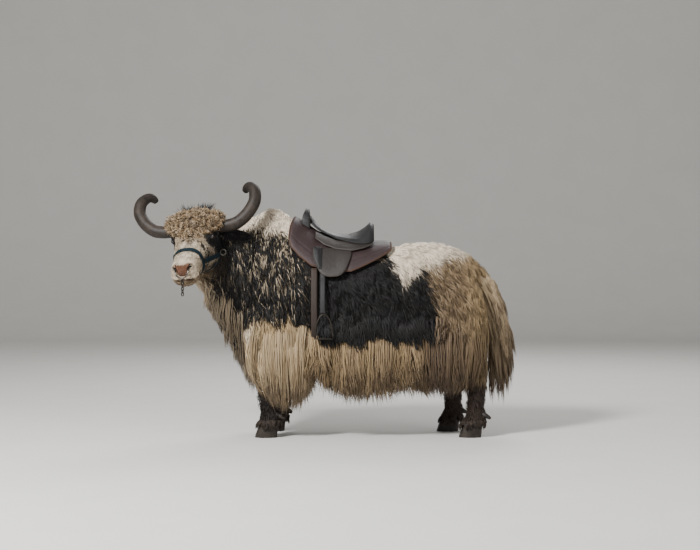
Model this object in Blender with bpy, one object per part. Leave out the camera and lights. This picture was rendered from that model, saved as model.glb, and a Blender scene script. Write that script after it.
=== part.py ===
"""A saddled domestic yak, life size, standing square with its head turned to its left.

The animal is set out in a stance frame: X runs from the chest to the tail, Y from its left side to its
right, Z up, with the ground at zero and the middle of the barrel over X = 0. One empty carries the whole
animal from there to the frame of the part, whose origin is the middle of its box at floor level.
Sizes are in metres. Left and right are the animal's own.
"""

import math
import random

import bmesh
import bpy
from mathutils import Matrix, Vector
from mathutils.bvhtree import BVHTree

# Where the stance frame stands in the frame of the part
STANCE_X = 0.149
STANCE_Y = 0.116

GAP = 0.0003  # left between neighbours that touch
FLAT = math.radians(0.4)  # faces that meet at less than this are one after a cut
SIDES = {"left": -1, "right": 1}
UP = Vector((0, 0, 1))
AHEAD = Vector((1, 0, 0))
ACROSS = Vector((0, 1, 0))

# Barrel with the dense coat under the belly: x, half width, top, bottom, power of the upper outline
TORSO = (
    (-0.665, 0.080, 0.960, 0.740, 2.0),
    (-0.640, 0.150, 1.080, 0.660, 2.0),
    (-0.590, 0.210, 1.232, 0.590, 1.9),
    (-0.530, 0.245, 1.306, 0.540, 1.75),
    (-0.460, 0.265, 1.334, 0.505, 1.65),
    (-0.380, 0.280, 1.308, 0.480, 1.65),
    (-0.290, 0.292, 1.236, 0.455, 1.75),
    (-0.190, 0.302, 1.166, 0.430, 1.9),
    (-0.080, 0.310, 1.126, 0.415, 2.0),
    (0.040, 0.315, 1.110, 0.410, 2.05),
    (0.160, 0.315, 1.108, 0.412, 2.05),
    (0.280, 0.310, 1.114, 0.430, 2.05),
    (0.390, 0.300, 1.130, 0.470, 2.05),
    (0.500, 0.282, 1.128, 0.530, 2.05),
    (0.600, 0.255, 1.104, 0.590, 2.05),
    (0.680, 0.215, 1.072, 0.650, 2.0),
    (0.735, 0.160, 1.022, 0.720, 2.0),
    (0.765, 0.085, 0.960, 0.800, 2.0),
)
TORSO_SIDES = 24
BELLY_POWER = 2.5
WIDEST = 0.42  # height of the barrel's widest line, as a share of its depth

# Neck along its bent axis: x, y, z, half width, rise, drop
NECK = (
    (-0.470, 0.000, 0.960, 0.205, 0.310, 0.330),
    (-0.580, -0.004, 0.975, 0.196, 0.305, 0.345),
    (-0.680, -0.022, 1.000, 0.176, 0.270, 0.325),
    (-0.765, -0.058, 1.030, 0.152, 0.222, 0.285),
    (-0.830, -0.108, 1.060, 0.132, 0.175, 0.225),
    (-0.868, -0.165, 1.085, 0.115, 0.140, 0.165),
    (-0.886, -0.215, 1.090, 0.095, 0.110, 0.120),
)
NECK_SIDES = 18
COLLAR_X = -0.570  # where the cut between neck and torso crosses the height of the neck's axis
COLLAR_Z = 0.950
COLLAR_LEAN = math.radians(10)

# Head: place of the poll, then how the face points
POLL = Vector((-0.885, -0.190, 1.259))
HEAD_TURN = math.radians(10.3)  # from square across the body, towards the front
HEAD_PITCH = math.radians(31.6)  # of the line of the face, below level
HEAD_ROLL = math.radians(6)  # left side up
# Along the face from the poll: distance, half width, rise over the line of the face, drop under it
HEAD = (
    (-0.075, 0.060, -0.075, 0.150),
    (-0.050, 0.094, -0.030, 0.200),
    (-0.010, 0.114, 0.000, 0.235),
    (0.050, 0.124, 0.016, 0.258),
    (0.105, 0.128, 0.020, 0.264),
    (0.160, 0.125, 0.014, 0.256),
    (0.215, 0.108, 0.006, 0.230),
    (0.270, 0.092, 0.000, 0.200),
    (0.330, 0.080, -0.003, 0.176),
    (0.385, 0.077, -0.004, 0.162),
    (0.425, 0.081, -0.006, 0.162),
    (0.458, 0.078, -0.012, 0.160),
    (0.480, 0.066, -0.026, 0.150),
    (0.491, 0.040, -0.044, 0.128),
)
HEAD_SIDES = 20
BALL_SIDES = 8
BALL_RINGS = 6
EYE = (0.150, 0.108, -0.036)  # along the face, out to the side, up from its line
EYE_RADIUS = 0.0195
LID_OUT = 0.0105  # from the eye's middle towards its look
LID_LONG = 0.0190
LID_HIGH = 0.0145
LID_THICK = 0.0056
LID_TURNS = 9
NOSTRIL = (0.480, 0.040, -0.036)
NOSTRIL_SIZE = (0.0095, 0.0150, 0.024)
NOSTRIL_TURN = 0.5
MOUTH_WIDE = 0.0045
# Line of the mouth, from the front to a corner: along the face, out to the side, up
MOUTH = (
    (0.500, 0.0, -0.101), (0.482, 0.045, -0.101), (0.440, 0.078, -0.102),
    (0.385, 0.082, -0.099), (0.345, 0.084, -0.091),
)

# Horn: out, forward and up from the poll of a level head, radius
HORN = (
    (0.060, 0.004, -0.050, 0.034),
    (0.115, 0.012, -0.054, 0.0345),
    (0.170, 0.016, -0.056, 0.0355),
    (0.215, 0.016, -0.052, 0.036),
    (0.256, 0.010, -0.038, 0.0365),
    (0.308, -0.008, 0.006, 0.0365),
    (0.344, -0.036, 0.066, 0.0355),
    (0.344, -0.072, 0.122, 0.034),
    (0.325, -0.102, 0.150, 0.031),
    (0.303, -0.120, 0.160, 0.028),
    (0.284, -0.132, 0.153, 0.025),
    (0.270, -0.138, 0.136, 0.0195),
    (0.266, -0.139, 0.130, 0.010),
)
# Ear in the same frame: out, forward, up, half width of the leaf
EAR = (
    (0.080, -0.040, -0.104, 0.018),
    (0.130, -0.045, -0.110, 0.030),
    (0.180, -0.050, -0.118, 0.041),
    (0.230, -0.055, -0.125, 0.040),
    (0.275, -0.060, -0.131, 0.026),
    (0.303, -0.062, -0.135, 0.007),
)
EAR_BACK = {-1: 0.0, 1: math.radians(74)}  # how far each ear is laid back, the left one not at all
EAR_THICKNESS = 0.010
EAR_CUP = 0.018
EAR_HALF = 0.041  # where it is widest

# Legs, down from inside the barrel: z, x, distance from the spine, half depth, half width
FORELEG = (
    (0.860, -0.430, 0.165, 0.060, 0.060),
    (0.760, -0.430, 0.172, 0.150, 0.105),
    (0.660, -0.430, 0.180, 0.172, 0.122),
    (0.560, -0.430, 0.184, 0.168, 0.124),
    (0.480, -0.434, 0.180, 0.145, 0.112),
    (0.420, -0.446, 0.172, 0.104, 0.088),
    (0.370, -0.460, 0.166, 0.072, 0.064),
    (0.320, -0.470, 0.163, 0.062, 0.055),
    (0.255, -0.470, 0.160, 0.055, 0.047),
    (0.180, -0.464, 0.158, 0.052, 0.044),
    (0.125, -0.456, 0.158, 0.062, 0.051),
    (0.074, -0.474, 0.158, 0.060, 0.055),
)
HINDLEG = (
    (0.960, 0.570, 0.140, 0.070, 0.060),
    (0.860, 0.575, 0.155, 0.172, 0.110),
    (0.740, 0.582, 0.168, 0.200, 0.128),
    (0.640, 0.592, 0.172, 0.190, 0.130),
    (0.550, 0.614, 0.170, 0.160, 0.118),
    (0.480, 0.650, 0.166, 0.122, 0.098),
    (0.420, 0.694, 0.162, 0.088, 0.074),
    (0.360, 0.728, 0.158, 0.064, 0.056),
    (0.290, 0.732, 0.154, 0.052, 0.046),
    (0.190, 0.726, 0.150, 0.047, 0.043),
    (0.125, 0.734, 0.150, 0.060, 0.051),
    (0.074, 0.708, 0.150, 0.058, 0.055),
)
LEG_SIDES = 10
# How far the right foot of each pair stands from the left one, along the body
RIGHT_SHIFT = {"front": 0.030, "hind": -0.112}
SHIFT_TOP = 0.800  # height where that shift begins
HOOF_TOP = 0.074

# Tail core, the dock: x, z, half thickness, half width
DOCK = (
    (0.690, 1.000, 0.034, 0.034),
    (0.738, 0.986, 0.040, 0.040),
    (0.775, 0.935, 0.040, 0.050),
    (0.803, 0.855, 0.046, 0.062),
    (0.828, 0.765, 0.052, 0.070),
    (0.846, 0.675, 0.052, 0.066),
    (0.855, 0.590, 0.034, 0.040),
)
TAIL_HALF = 0.112  # half the width of the space that the tail hangs in
TAIL_PLANE = 0.776
TAIL_TOP = 0.950

# Planes that part the hanging coat of one node from the next
CHEST_PLANE = -0.612
GIRTH_FRONT = -0.232
GIRTH_REAR = -0.183
FLANK_PLANE = {"left": 0.366, "right": 0.310}

# Materials: base colour, roughness, metallic
FINISHES = {
    "coat_black": ((0.030, 0.027, 0.026), 0.85, 0.0),
    "coat_tan": ((0.300, 0.215, 0.140), 0.85, 0.0),
    "coat_cream": ((0.640, 0.560, 0.450), 0.85, 0.0),
    "coat_dark": ((0.050, 0.042, 0.036), 0.85, 0.0),
    "horn": ((0.110, 0.092, 0.078), 0.40, 0.0),
    "hoof": ((0.075, 0.066, 0.058), 0.50, 0.0),
    "eye": ((0.012, 0.009, 0.008), 0.08, 0.0),
    "saddle_leather": ((0.095, 0.080, 0.070), 0.45, 0.0),
    "worn_leather": ((0.190, 0.140, 0.120), 0.55, 0.0),
    "black_leather": ((0.030, 0.028, 0.030), 0.40, 0.0),
    "webbing": ((0.050, 0.095, 0.110), 0.80, 0.0),
    "steel": ((0.560, 0.550, 0.530), 0.35, 1.0),
}


# Helpers: objects, materials and ways of joining

def clear_scene():
    for old in list(bpy.data.objects):
        bpy.data.objects.remove(old, do_unlink=True)


def new_group(name, hidden=False):
    """A collection for the parts or for the cutters."""
    made = bpy.data.collections.new(name)
    made.hide_render = hidden
    bpy.context.scene.collection.children.link(made)
    return made


def finish(name):
    """The named material, made the first time that it is asked for."""
    made = bpy.data.materials.get(name)
    if made:
        return made
    colour, roughness, metallic = FINISHES[name]
    made = bpy.data.materials.new(name)
    made.use_nodes = True
    shader = made.node_tree.nodes["Principled BSDF"]
    shader.inputs["Base Color"].default_value = (*colour, 1.0)
    shader.inputs["Roughness"].default_value = roughness
    shader.inputs["Metallic"].default_value = metallic
    made.diffuse_color = (*colour, 1.0)
    return made


def new_object(name, shape):
    """A cutter or a piece to be joined, from a bmesh, in the group of cutters."""
    mesh = bpy.data.meshes.new(name)
    bmesh.ops.recalc_face_normals(shape, faces=shape.faces)
    shape.to_mesh(mesh)
    shape.free()
    made = bpy.data.objects.new(name, mesh)
    made.display_type = "WIRE"
    made.hide_render = True
    CUTTERS.objects.link(made)
    return made


def as_part(piece, material):
    """Moves a finished piece into the group of parts and gives it its material."""
    CUTTERS.objects.unlink(piece)
    PARTS.objects.link(piece)
    piece.display_type = "TEXTURED"
    piece.hide_render = False
    piece.data.materials.clear()
    piece.data.materials.append(finish(material))
    piece.data.shade_smooth()
    piece.data.set_sharp_from_angle(angle=math.radians(50))
    piece.parent = STANCE
    return piece


def settle(piece):
    """Applies the piece's modifiers, or turns a curve into a closed mesh."""
    graph = bpy.context.evaluated_depsgraph_get()
    mesh = bpy.data.meshes.new_from_object(piece.evaluated_get(graph))
    if piece.type == "CURVE":
        name = piece.name
        bpy.data.objects.remove(piece, do_unlink=True)
        made = bpy.data.objects.new(name, mesh)
        CUTTERS.objects.link(made)
        made.display_type = "WIRE"
        made.hide_render = True
        weld(made)
        return made
    piece.modifiers.clear()
    piece.data = mesh
    return piece


def weld(piece, distance=1e-6):
    shape = bmesh.new()
    shape.from_mesh(piece.data)
    bmesh.ops.remove_doubles(shape, verts=shape.verts, dist=distance)
    bmesh.ops.recalc_face_normals(shape, faces=shape.faces)
    shape.to_mesh(piece.data)
    shape.free()


def boolean(piece, operation, others, solver="EXACT"):
    """Joins or cuts the piece with all the others at once, and removes them."""
    group = bpy.data.collections.new("operands")
    bpy.context.scene.collection.children.link(group)
    for other in others:
        group.objects.link(other)
    step = piece.modifiers.new(operation.lower(), "BOOLEAN")
    step.operation = operation
    step.operand_type = "COLLECTION"
    step.collection = group
    step.solver = solver
    settle(piece)
    for other in others:
        bpy.data.objects.remove(other, do_unlink=True)
    bpy.data.collections.remove(group)
    return keep_largest(piece)


def keep_within(piece, box):
    """Keeps what lies inside one box, and removes the box."""
    step = piece.modifiers.new("within", "BOOLEAN")
    step.operation = "INTERSECT"
    step.object = box
    settle(piece)
    bpy.data.objects.remove(box, do_unlink=True)
    return keep_largest(piece)


def keep_largest(piece):
    """Keeps the largest closed surface of a mesh and drops the rest."""
    shape = bmesh.new()
    shape.from_mesh(piece.data)
    left = set(shape.verts)
    islands = []
    while left:
        seed = left.pop()
        island = {seed}
        edge = [seed]
        while edge:
            for link in edge.pop().link_edges:
                for vert in link.verts:
                    if vert in left:
                        left.discard(vert)
                        island.add(vert)
                        edge.append(vert)
        islands.append(island)
    kept = max(islands, key=lambda island: spread(island))
    dropped = [vert for vert in shape.verts if vert not in kept]
    bmesh.ops.delete(shape, geom=dropped, context="VERTS")
    bmesh.ops.triangulate(shape, faces=shape.faces)
    shape.to_mesh(piece.data)
    shape.free()
    return piece


def join_flat(piece):
    """Makes one face of faces that lie flat together, where the piece stays closed by it."""
    shape = bmesh.new()
    shape.from_mesh(piece.data)
    bmesh.ops.dissolve_limit(shape, angle_limit=FLAT, verts=shape.verts, edges=shape.edges)
    bmesh.ops.triangulate(shape, faces=shape.faces)
    if all(edge.is_manifold for edge in shape.edges):
        shape.to_mesh(piece.data)
    shape.free()
    return piece


def spread(verts):
    """Diagonal of the box round some vertices."""
    lows = [min(vert.co[axis] for vert in verts) for axis in range(3)]
    highs = [max(vert.co[axis] for vert in verts) for axis in range(3)]
    return (Vector(highs) - Vector(lows)).length


def copy_of(piece, name):
    made = bpy.data.objects.new(name, piece.data.copy())
    made.display_type = "WIRE"
    made.hide_render = True
    CUTTERS.objects.link(made)
    return made


def grown(piece, by=GAP):
    """A copy pushed out along its normals, to cut a neighbour clear of the piece."""
    made = copy_of(piece, piece.name + "_grown")
    shape = bmesh.new()
    shape.from_mesh(made.data)
    shape.normal_update()
    moves = [vert.normal * by * max(1.0, vert.calc_shell_factor()) for vert in shape.verts]
    for vert, move in zip(shape.verts, moves):
        vert.co += move
    shape.to_mesh(made.data)
    shape.free()
    return made


def tree_of(piece):
    """Search tree of a piece's surface, for setting other things on it."""
    shape = bmesh.new()
    shape.from_mesh(piece.data)
    tree = BVHTree.FromBMesh(shape)
    shape.free()
    return tree


def box(low, high, lean=0.0, pivot=None):
    """A box between two corners, leaning about the Y axis through the pivot."""
    shape = bmesh.new()
    bmesh.ops.create_cube(shape, size=1.0)
    low = Vector(low)
    high = Vector(high)
    size = high - low
    bmesh.ops.scale(shape, vec=size, verts=shape.verts)
    bmesh.ops.translate(shape, vec=(low + high) / 2, verts=shape.verts)
    if lean:
        turn = Matrix.Rotation(lean, 3, "Y")
        bmesh.ops.rotate(shape, cent=pivot, matrix=turn, verts=shape.verts)
    return new_object("box", shape)


def loft(name, rings, tip=None):
    """A closed skin through rings of points, with flat ends or a pointed last end."""
    shape = bmesh.new()
    rows = [[shape.verts.new(point) for point in ring] for ring in rings]
    count = len(rows[0])
    for lower, upper in zip(rows, rows[1:]):
        for place in range(count):
            after = (place + 1) % count
            shape.faces.new((lower[place], lower[after], upper[after], upper[place]))
    shape.faces.new(rows[0][::-1])
    if tip is None:
        shape.faces.new(rows[-1])
    else:
        point = shape.verts.new(tip)
        for place in range(count):
            shape.faces.new((rows[-1][place], rows[-1][(place + 1) % count], point))
    bmesh.ops.triangulate(shape, faces=shape.faces)
    return new_object(name, shape)


def rounded(value, power):
    """One coordinate of a superellipse, from a sine or cosine."""
    return math.copysign(abs(value) ** (2.0 / power), value)


def ring(centre, side, up, half, rise, drop, count, power=2.0, low_power=2.0):
    """A closed outline with its own rise over and drop under the centre."""
    points = []
    for place in range(count):
        angle = 2 * math.pi * place / count
        across = math.cos(angle)
        along = math.sin(angle)
        bend = power if along >= 0 else low_power
        height = rise if along >= 0 else drop
        points.append(centre + side * half * rounded(across, bend) + up * height * rounded(along, bend))
    return points


def row_at(table, value):
    """A table's row at any value of its first column, between the rows given."""
    rows = sorted(table)
    value = min(max(value, rows[0][0]), rows[-1][0])
    for low, high in zip(rows, rows[1:]):
        if value <= high[0]:
            share = (value - low[0]) / (high[0] - low[0])
            return [a + (b - a) * share for a, b in zip(low, high)]
    return list(rows[-1])


def eased(t, a, b, c, d):
    """A value between b and c on the smooth curve through all four."""
    bend = (2 * a - 5 * b + 4 * c - d) * t ** 2 + (3 * b - a - 3 * c + d) * t ** 3
    return 0.5 * (2 * b + (c - a) * t + bend)


def smooth_path(points, steps):
    """More points on a smooth curve through the given rows of numbers."""
    rows = [list(row) for row in points]
    first = [2 * a - b for a, b in zip(rows[0], rows[1])]
    last = [2 * a - b for a, b in zip(rows[-1], rows[-2])]
    rows = [first] + rows + [last]
    made = []
    for place in range(1, len(rows) - 2):
        before, start, end, after = rows[place - 1:place + 3]
        for step in range(steps):
            t = step / steps
            made.append([eased(t, *four) for four in zip(before, start, end, after)])
    made.append(rows[-2])
    return made


def tube(name, points, radius, sides_level=2, closed=False):
    """A round tube along points, each with its own radius if a list is given."""
    data = bpy.data.curves.new(name, "CURVE")
    data.dimensions = "3D"
    data.bevel_depth = 1.0 if isinstance(radius, list) else radius
    data.bevel_resolution = sides_level
    data.use_fill_caps = not closed
    line = data.splines.new("POLY")
    line.points.add(len(points) - 1)
    line.use_cyclic_u = closed
    for place, point in enumerate(points):
        line.points[place].co = (*point, 1.0)
        line.points[place].radius = radius[place] if isinstance(radius, list) else 1.0
    made = bpy.data.objects.new(name, data)
    CUTTERS.objects.link(made)
    return settle(made)


# Head frame and the animal's surfaces

HEADING = Vector((-math.sin(HEAD_TURN), -math.cos(HEAD_TURN), 0))
HEAD_LEFT = UP.cross(HEADING) * math.cos(HEAD_ROLL) + UP * math.sin(HEAD_ROLL)
HEAD_TOP = HEADING.cross(HEAD_LEFT)
FACE = HEADING * math.cos(HEAD_PITCH) - HEAD_TOP * math.sin(HEAD_PITCH)
BROW = HEADING * math.sin(HEAD_PITCH) + HEAD_TOP * math.cos(HEAD_PITCH)


def on_face(along, out, up):
    """A point in the pitched frame of the face; out is to the animal's left."""
    return POLL + FACE * along + HEAD_LEFT * out + BROW * up


def by_poll(side, out, forward, up):
    """A point in the level frame of the head, as horns and ears use."""
    return POLL - HEAD_LEFT * side * out + HEADING * forward + HEAD_TOP * up


def barrel_ring(x, lift=0.0, count=TORSO_SIDES):
    x, half, top, bottom, power = row_at(TORSO, x)
    middle = bottom + (top - bottom) * WIDEST
    centre = Vector((x, 0, middle))
    above = top - middle + lift
    below = middle - bottom + lift
    return ring(centre, ACROSS, UP, half + lift, above, below, count, power, BELLY_POWER)


def barrel_point(x, angle, lift=0.0):
    """A point over the barrel; the angle is zero on the spine and grows down the side given by its sign."""
    x, half, top, bottom, power = row_at(TORSO, x)
    middle = bottom + (top - bottom) * WIDEST
    across = math.sin(angle)
    along = math.cos(angle)
    bend = power if along >= 0 else BELLY_POWER
    height = top - middle if along >= 0 else middle - bottom
    y = (half + lift) * rounded(across, bend)
    z = middle + (height + lift) * rounded(along, bend)
    return Vector((x, y, z))


def barrel_angle(x, z):
    """The angle at which the barrel's side is at a given height."""
    x, half, top, bottom, power = row_at(TORSO, x)
    middle = bottom + (top - bottom) * WIDEST
    if z >= middle:
        share = min(1.0, (z - middle) / (top - middle))
        return math.acos(share ** (power / 2))
    share = min(1.0, (middle - z) / (middle - bottom))
    return math.acos(-(share ** (BELLY_POWER / 2)))


# Flesh

def torso_flesh():
    return loft("torso_flesh", [barrel_ring(row[0]) for row in TORSO])


def neck_flesh():
    rings = []
    for place, (x, y, z, half, rise, drop) in enumerate(NECK):
        ahead = NECK[min(place + 1, len(NECK) - 1)]
        behind = NECK[max(place - 1, 0)]
        along = Vector((ahead[0] - behind[0], ahead[1] - behind[1], 0)).normalized()
        rings.append(ring(Vector((x, y, z)), UP.cross(along), UP, half, rise, drop, NECK_SIDES, 1.9, 2.2))
    return loft("neck_flesh", rings)


def head_flesh():
    rings = []
    for along, half, rise, drop in HEAD:
        middle = (rise - drop) / 2
        centre = on_face(along, 0, middle)
        depth = (rise + drop) / 2
        rings.append(ring(centre, HEAD_LEFT, BROW, half, depth, depth, HEAD_SIDES, 2.5, 2.3))
    return loft("head_flesh", rings)


def right_shift(pair, side, z):
    """How far forward or back the right leg of a pair stands at a height."""
    if side < 0:
        return 0.0
    share = min(1.0, max(0.0, (SHIFT_TOP - z) / (SHIFT_TOP - 0.35)))
    return RIGHT_SHIFT[pair] * share


def leg_flesh(pair, side):
    table = FORELEG if pair == "front" else HINDLEG
    rings = []
    for z, x, out, depth, half in table:
        centre = Vector((x + right_shift(pair, side, z), side * out, z))
        rings.append(ring(centre, AHEAD, side * ACROSS, depth, half, half, LEG_SIDES, 2.2, 2.2))
    return loft("leg_flesh", rings)


def tail_flesh():
    rings = []
    for x, z, thick, half in DOCK:
        rings.append(ring(Vector((x, 0, z)), ACROSS, AHEAD, half, thick, thick, LEG_SIDES))
    return loft("dock", rings)


# Long hair. A lock is a flat, tapered strand of three sides, sunk into the flesh at its root

LOCK_SEED = 5
# Along a lock: place, share of its width, share of its thickness
LOCK_SHAPE = ((0.0, 0.80, 1.0), (0.42, 1.0, 1.0), (0.80, 0.62, 0.7))
ROOT_SINK = 0.018
# Locks of each kind: thickness, bend outward, and the most that they bend sideways
SKIRT_LOCK = (0.017, 0.010, 0.010)
UNDER_LOCK = (0.022, 0.0, 0.020)
BELL_LOCK = (0.018, 0.012, 0.010)
TAIL_LOCK = (0.017, 0.016, 0.018)
BEARD_LOCK = (0.020, 0.012, 0.014)
WIDTH_CHANCE = 0.010  # how much wider or narrower a lock may be
ANYWHERE = ((-9, -9, -9), (9, 9, 9))
LEG_ROOT_LOW = 0.36  # no hair of a bell grows under this height

# Lower edge of the skirt and of the bells of hair round the legs: x, z
SKIRT_LOW = (
    (-0.180, 0.300), (-0.097, 0.242), (0.006, 0.208), (0.170, 0.208), (0.286, 0.250), (0.345, 0.285),
)
BELL_LOW = {
    "front": (
        (-0.560, 0.270), (-0.515, 0.242), (-0.360, 0.139), (-0.303, 0.170), (-0.240, 0.185), (-0.229, 0.265),
    ),
    "hind": (
        (0.349, 0.305), (0.395, 0.254), (0.490, 0.237), (0.549, 0.254), (0.669, 0.294), (0.755, 0.254),
    ),
}
# Tiers of the skirt: height of the roots, rise of the tips over its edge, how far in, how many, width
SKIRT_TIERS = (
    (0.630, 0.110, -0.018, 5, 0.104), (0.550, 0.045, 0.020, 6, 0.086), (0.470, 0.000, 0.045, 5, 0.098),
)
# Long hair under the belly, near its middle line
UNDER_Y = 0.095
UNDER_LOW = 0.270
UNDER_WIDTH = 0.130
UNDER_COUNT = 3
BELL_LEAST = 0.12  # shortest drop of a lock of a bell
# Bells: middle along the body, distance from the spine, half length, half width
BELLS = {"front": (-0.385, 0.175, 0.150, 0.130), "hind": (0.555, 0.170, 0.200, 0.125)}
# Tiers of a bell: height of the roots, share of its size, rise over its lower edge, how many, width
BELL_TIERS = ((0.650, 1.00, 0.060, 7, 0.112), (0.540, 0.80, 0.015, 7, 0.092), (0.450, 0.55, 0.000, 4, 0.088))
# Tiers of the tail: height of the roots, then x, z and half width of the tips, how many
TAIL_TIERS = (
    (0.915, 0.926, 0.700, 0.080, 4), (0.840, 0.962, 0.570, 0.088, 5), (0.770, 0.968, 0.430, 0.088, 4),
    (0.700, 0.954, 0.290, 0.082, 4), (0.630, 0.916, 0.166, 0.055, 3),
)
TAIL_FAN = math.radians(120)
TAIL_WIDTH = 0.078
TAIL_INWARD = 0.060  # how far the locks on its front hang forward
# Hair under the neck and on the brisket: x of the root, x and z of the tip
BEARD = (
    (-0.826, -0.832, 0.745), (-0.788, -0.790, 0.680), (-0.752, -0.756, 0.612), (-0.720, -0.722, 0.550),
    (-0.694, -0.690, 0.490), (-0.670, -0.662, 0.432), (-0.650, -0.637, 0.370), (-0.640, -0.622, 0.310),
)
BEARD_REAR = -0.627  # clear of the chest
BEARD_SPREAD = (0.58, 0.40)
BEARD_WIDTH = 0.072
# Curls of the forelock, in rows across the brow: forward, up, half width of the row, radius, how many
CURLS = (
    (-0.040, 0.008, 0.080, 0.046, 3), (0.000, 0.018, 0.112, 0.046, 5), (0.046, 0.006, 0.134, 0.047, 5),
    (0.090, -0.022, 0.130, 0.047, 5), (0.132, -0.056, 0.088, 0.043, 4), (0.168, -0.090, 0.056, 0.040, 3),
    (0.200, -0.116, 0.024, 0.034, 2),
)
CURL_SIDES = 6
CURL_RINGS = 4


def fenced(point, fence):
    """A point brought back inside a box, so that hair stays clear of the next node."""
    return Vector([min(max(value, low), high) for value, low, high in zip(point, *fence)])


def lock(draws, root, tip, out, width, build, fence=ANYWHERE):
    """A strand from root to tip, bent outward and a little sideways."""
    width = near(draws, width, WIDTH_CHANCE)
    thickness, bow, sway = build
    curl = near(draws, 0, sway)
    lie = (tip - root).normalized()
    out = (out - lie * out.dot(lie)).normalized()
    side = lie.cross(out)
    control = (root + tip) / 2 + out * bow * 2 + side * curl
    rings = []
    for t, wide, deep in LOCK_SHAPE:
        point = root * (1 - t) ** 2 + control * 2 * t * (1 - t) + tip * t * t
        if t == 0:
            point = point - out * ROOT_SINK
        reach = side * width * wide / 2
        corners = (point + reach, point + out * thickness * deep, point - reach)
        rings.append([fenced(corner, fence) for corner in corners])
    return loft("lock", rings, fenced(tip, fence))


def near(draws, value, amount):
    """A value a little off the one given."""
    return value + draws.uniform(-amount, amount)


def surface(tree, start, direction):
    """Where a line from the start first meets a surface, and how far off that is."""
    place, normal, index, distance = tree.ray_cast(start, direction)
    return place, (distance if place else math.inf)


def skirt_locks(name, side, tree):
    """Curtain of hair down one side of the belly, in tiers that overlap."""
    draws = random.Random(LOCK_SEED + side)
    fence = ((GIRTH_REAR, -1, 0), (FLANK_PLANE[name], 1, 1))
    away = Vector((0, side, 0))
    made = []
    for root_z, rise, inward, count, width in SKIRT_TIERS:
        step = (FLANK_PLANE[name] - GIRTH_REAR) / count
        for place in range(count):
            x = near(draws, GIRTH_REAR + step * (place + 0.5), 0.006)
            root = barrel_point(x, side * barrel_angle(x, near(draws, root_z, 0.012)))
            tip = Vector((near(draws, x, 0.014), root.y - side * inward, 0))
            tip.z = near(draws, row_at(SKIRT_LOW, x)[1] + rise, 0.018)
            made.append(lock(draws, root, tip, away, width, SKIRT_LOCK, fence))
    step = (FLANK_PLANE[name] - GIRTH_REAR) / UNDER_COUNT
    for place in range(UNDER_COUNT):
        x = near(draws, GIRTH_REAR + step * (place + 0.5), 0.012)
        root, distance = surface(tree, Vector((x, side * UNDER_Y, 0.1)), UP)
        tip = Vector((x, side * UNDER_Y, near(draws, UNDER_LOW, 0.02)))
        made.append(lock(draws, root + UP * ROOT_SINK, tip, away, UNDER_WIDTH, UNDER_LOCK, fence))
    return made


def leg_root(leg, body, centre, direction, z):
    """The highest place at or under z where the leg shows outside the body in one direction."""
    while z > LEG_ROOT_LOW:
        start = Vector((centre.x, centre.y, z)) + direction
        place, distance = surface(leg, start, -direction)
        hidden, depth = surface(body, start, -direction)
        if place and distance < min(depth, 1.0):
            return place
        z -= 0.02
    return None


def bell_locks(pair, name, side, leg, body):
    """Hair that hangs round a leg down to the shank."""
    draws = random.Random(LOCK_SEED + 10 * side + len(pair))
    middle, out, length, width = BELLS[pair]
    table = FORELEG if pair == "front" else HINDLEG
    fence = leg_reach(pair, side)
    thickness, bow, sway = BELL_LOCK
    made = []
    for root_z, share, rise, count, wide in BELL_TIERS:
        for place in range(count):
            turn = 2 * math.pi * (place + near(draws, 0, 0.08)) / count
            way = Vector((math.cos(turn), side * math.sin(turn), 0))
            row = row_at(table, near(draws, root_z, 0.015))
            shift = right_shift(pair, side, 0.3)
            centre = Vector((row[1] + right_shift(pair, side, row[0]), side * row[2], 0))
            root = leg_root(leg, body, centre, way, row[0])
            if root is None:
                continue
            tip = Vector((middle + shift + length * share * way.x, side * out + width * share * way.y, 0))
            edge = row_at(BELL_LOW[pair], tip.x - shift)[1] + rise
            tip.z = min(near(draws, edge, 0.016), root.z - BELL_LEAST)
            made.append(lock(draws, root, tip, way, wide, (thickness, bow * share, sway), fence))
    return made


def tail_locks(dock):
    """Hair of the tail, in tiers from the dock down to the tip of the brush."""
    draws = random.Random(LOCK_SEED + 3)
    axis = [(z, x) for x, z, thick, half in DOCK]
    fence = ((TAIL_PLANE + GAP, GAP - TAIL_HALF, 0), (2, TAIL_HALF - GAP, TAIL_TOP - GAP))
    made = []
    for root_z, tip_x, tip_z, half, count in TAIL_TIERS:
        centre = Vector((row_at(axis, root_z)[1], 0, root_z))
        for place in range(count):
            turn = span(-TAIL_FAN, TAIL_FAN, place / (count - 1)) + near(draws, 0, 0.12)
            way = Vector((math.cos(turn), math.sin(turn), 0))
            root, distance = surface(dock, centre + way, -way)
            if root is None:
                continue
            back = (tip_x - centre.x) if way.x > 0 else TAIL_INWARD
            tip = Vector((centre.x + back * way.x, half * way.y, near(draws, tip_z, 0.020)))
            made.append(lock(draws, root, tip, way, TAIL_WIDTH, TAIL_LOCK, fence))
    return made


def beard_locks(neck):
    """Hair that hangs under the neck and from the brisket, in two curtains with a few locks between."""
    draws = random.Random(LOCK_SEED + 4)
    axis = [(x, y, half) for x, y, z, half, rise, drop in NECK]
    fence = ((-9, -9, 0), (BEARD_REAR, 9, 9))
    made = []
    for place, (x, tip_x, tip_z) in enumerate(BEARD):
        x, middle, half = row_at(axis, x)
        for side in (-1, 0, 1):
            if side == 0 and place % 2:
                continue
            start = Vector((x, middle + side * half * BEARD_SPREAD[place % 2], 0))
            root, distance = surface(neck, start, UP)
            if root is None:
                continue
            tip = Vector((near(draws, tip_x, 0.008), start.y - side * 0.030, near(draws, tip_z, 0.012)))
            out = Vector((-1, 0, 0)) if side == 0 else Vector((-0.25, side, 0))
            made.append(lock(draws, root + UP * ROOT_SINK, tip, out, BEARD_WIDTH, BEARD_LOCK, fence))
    return made


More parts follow.
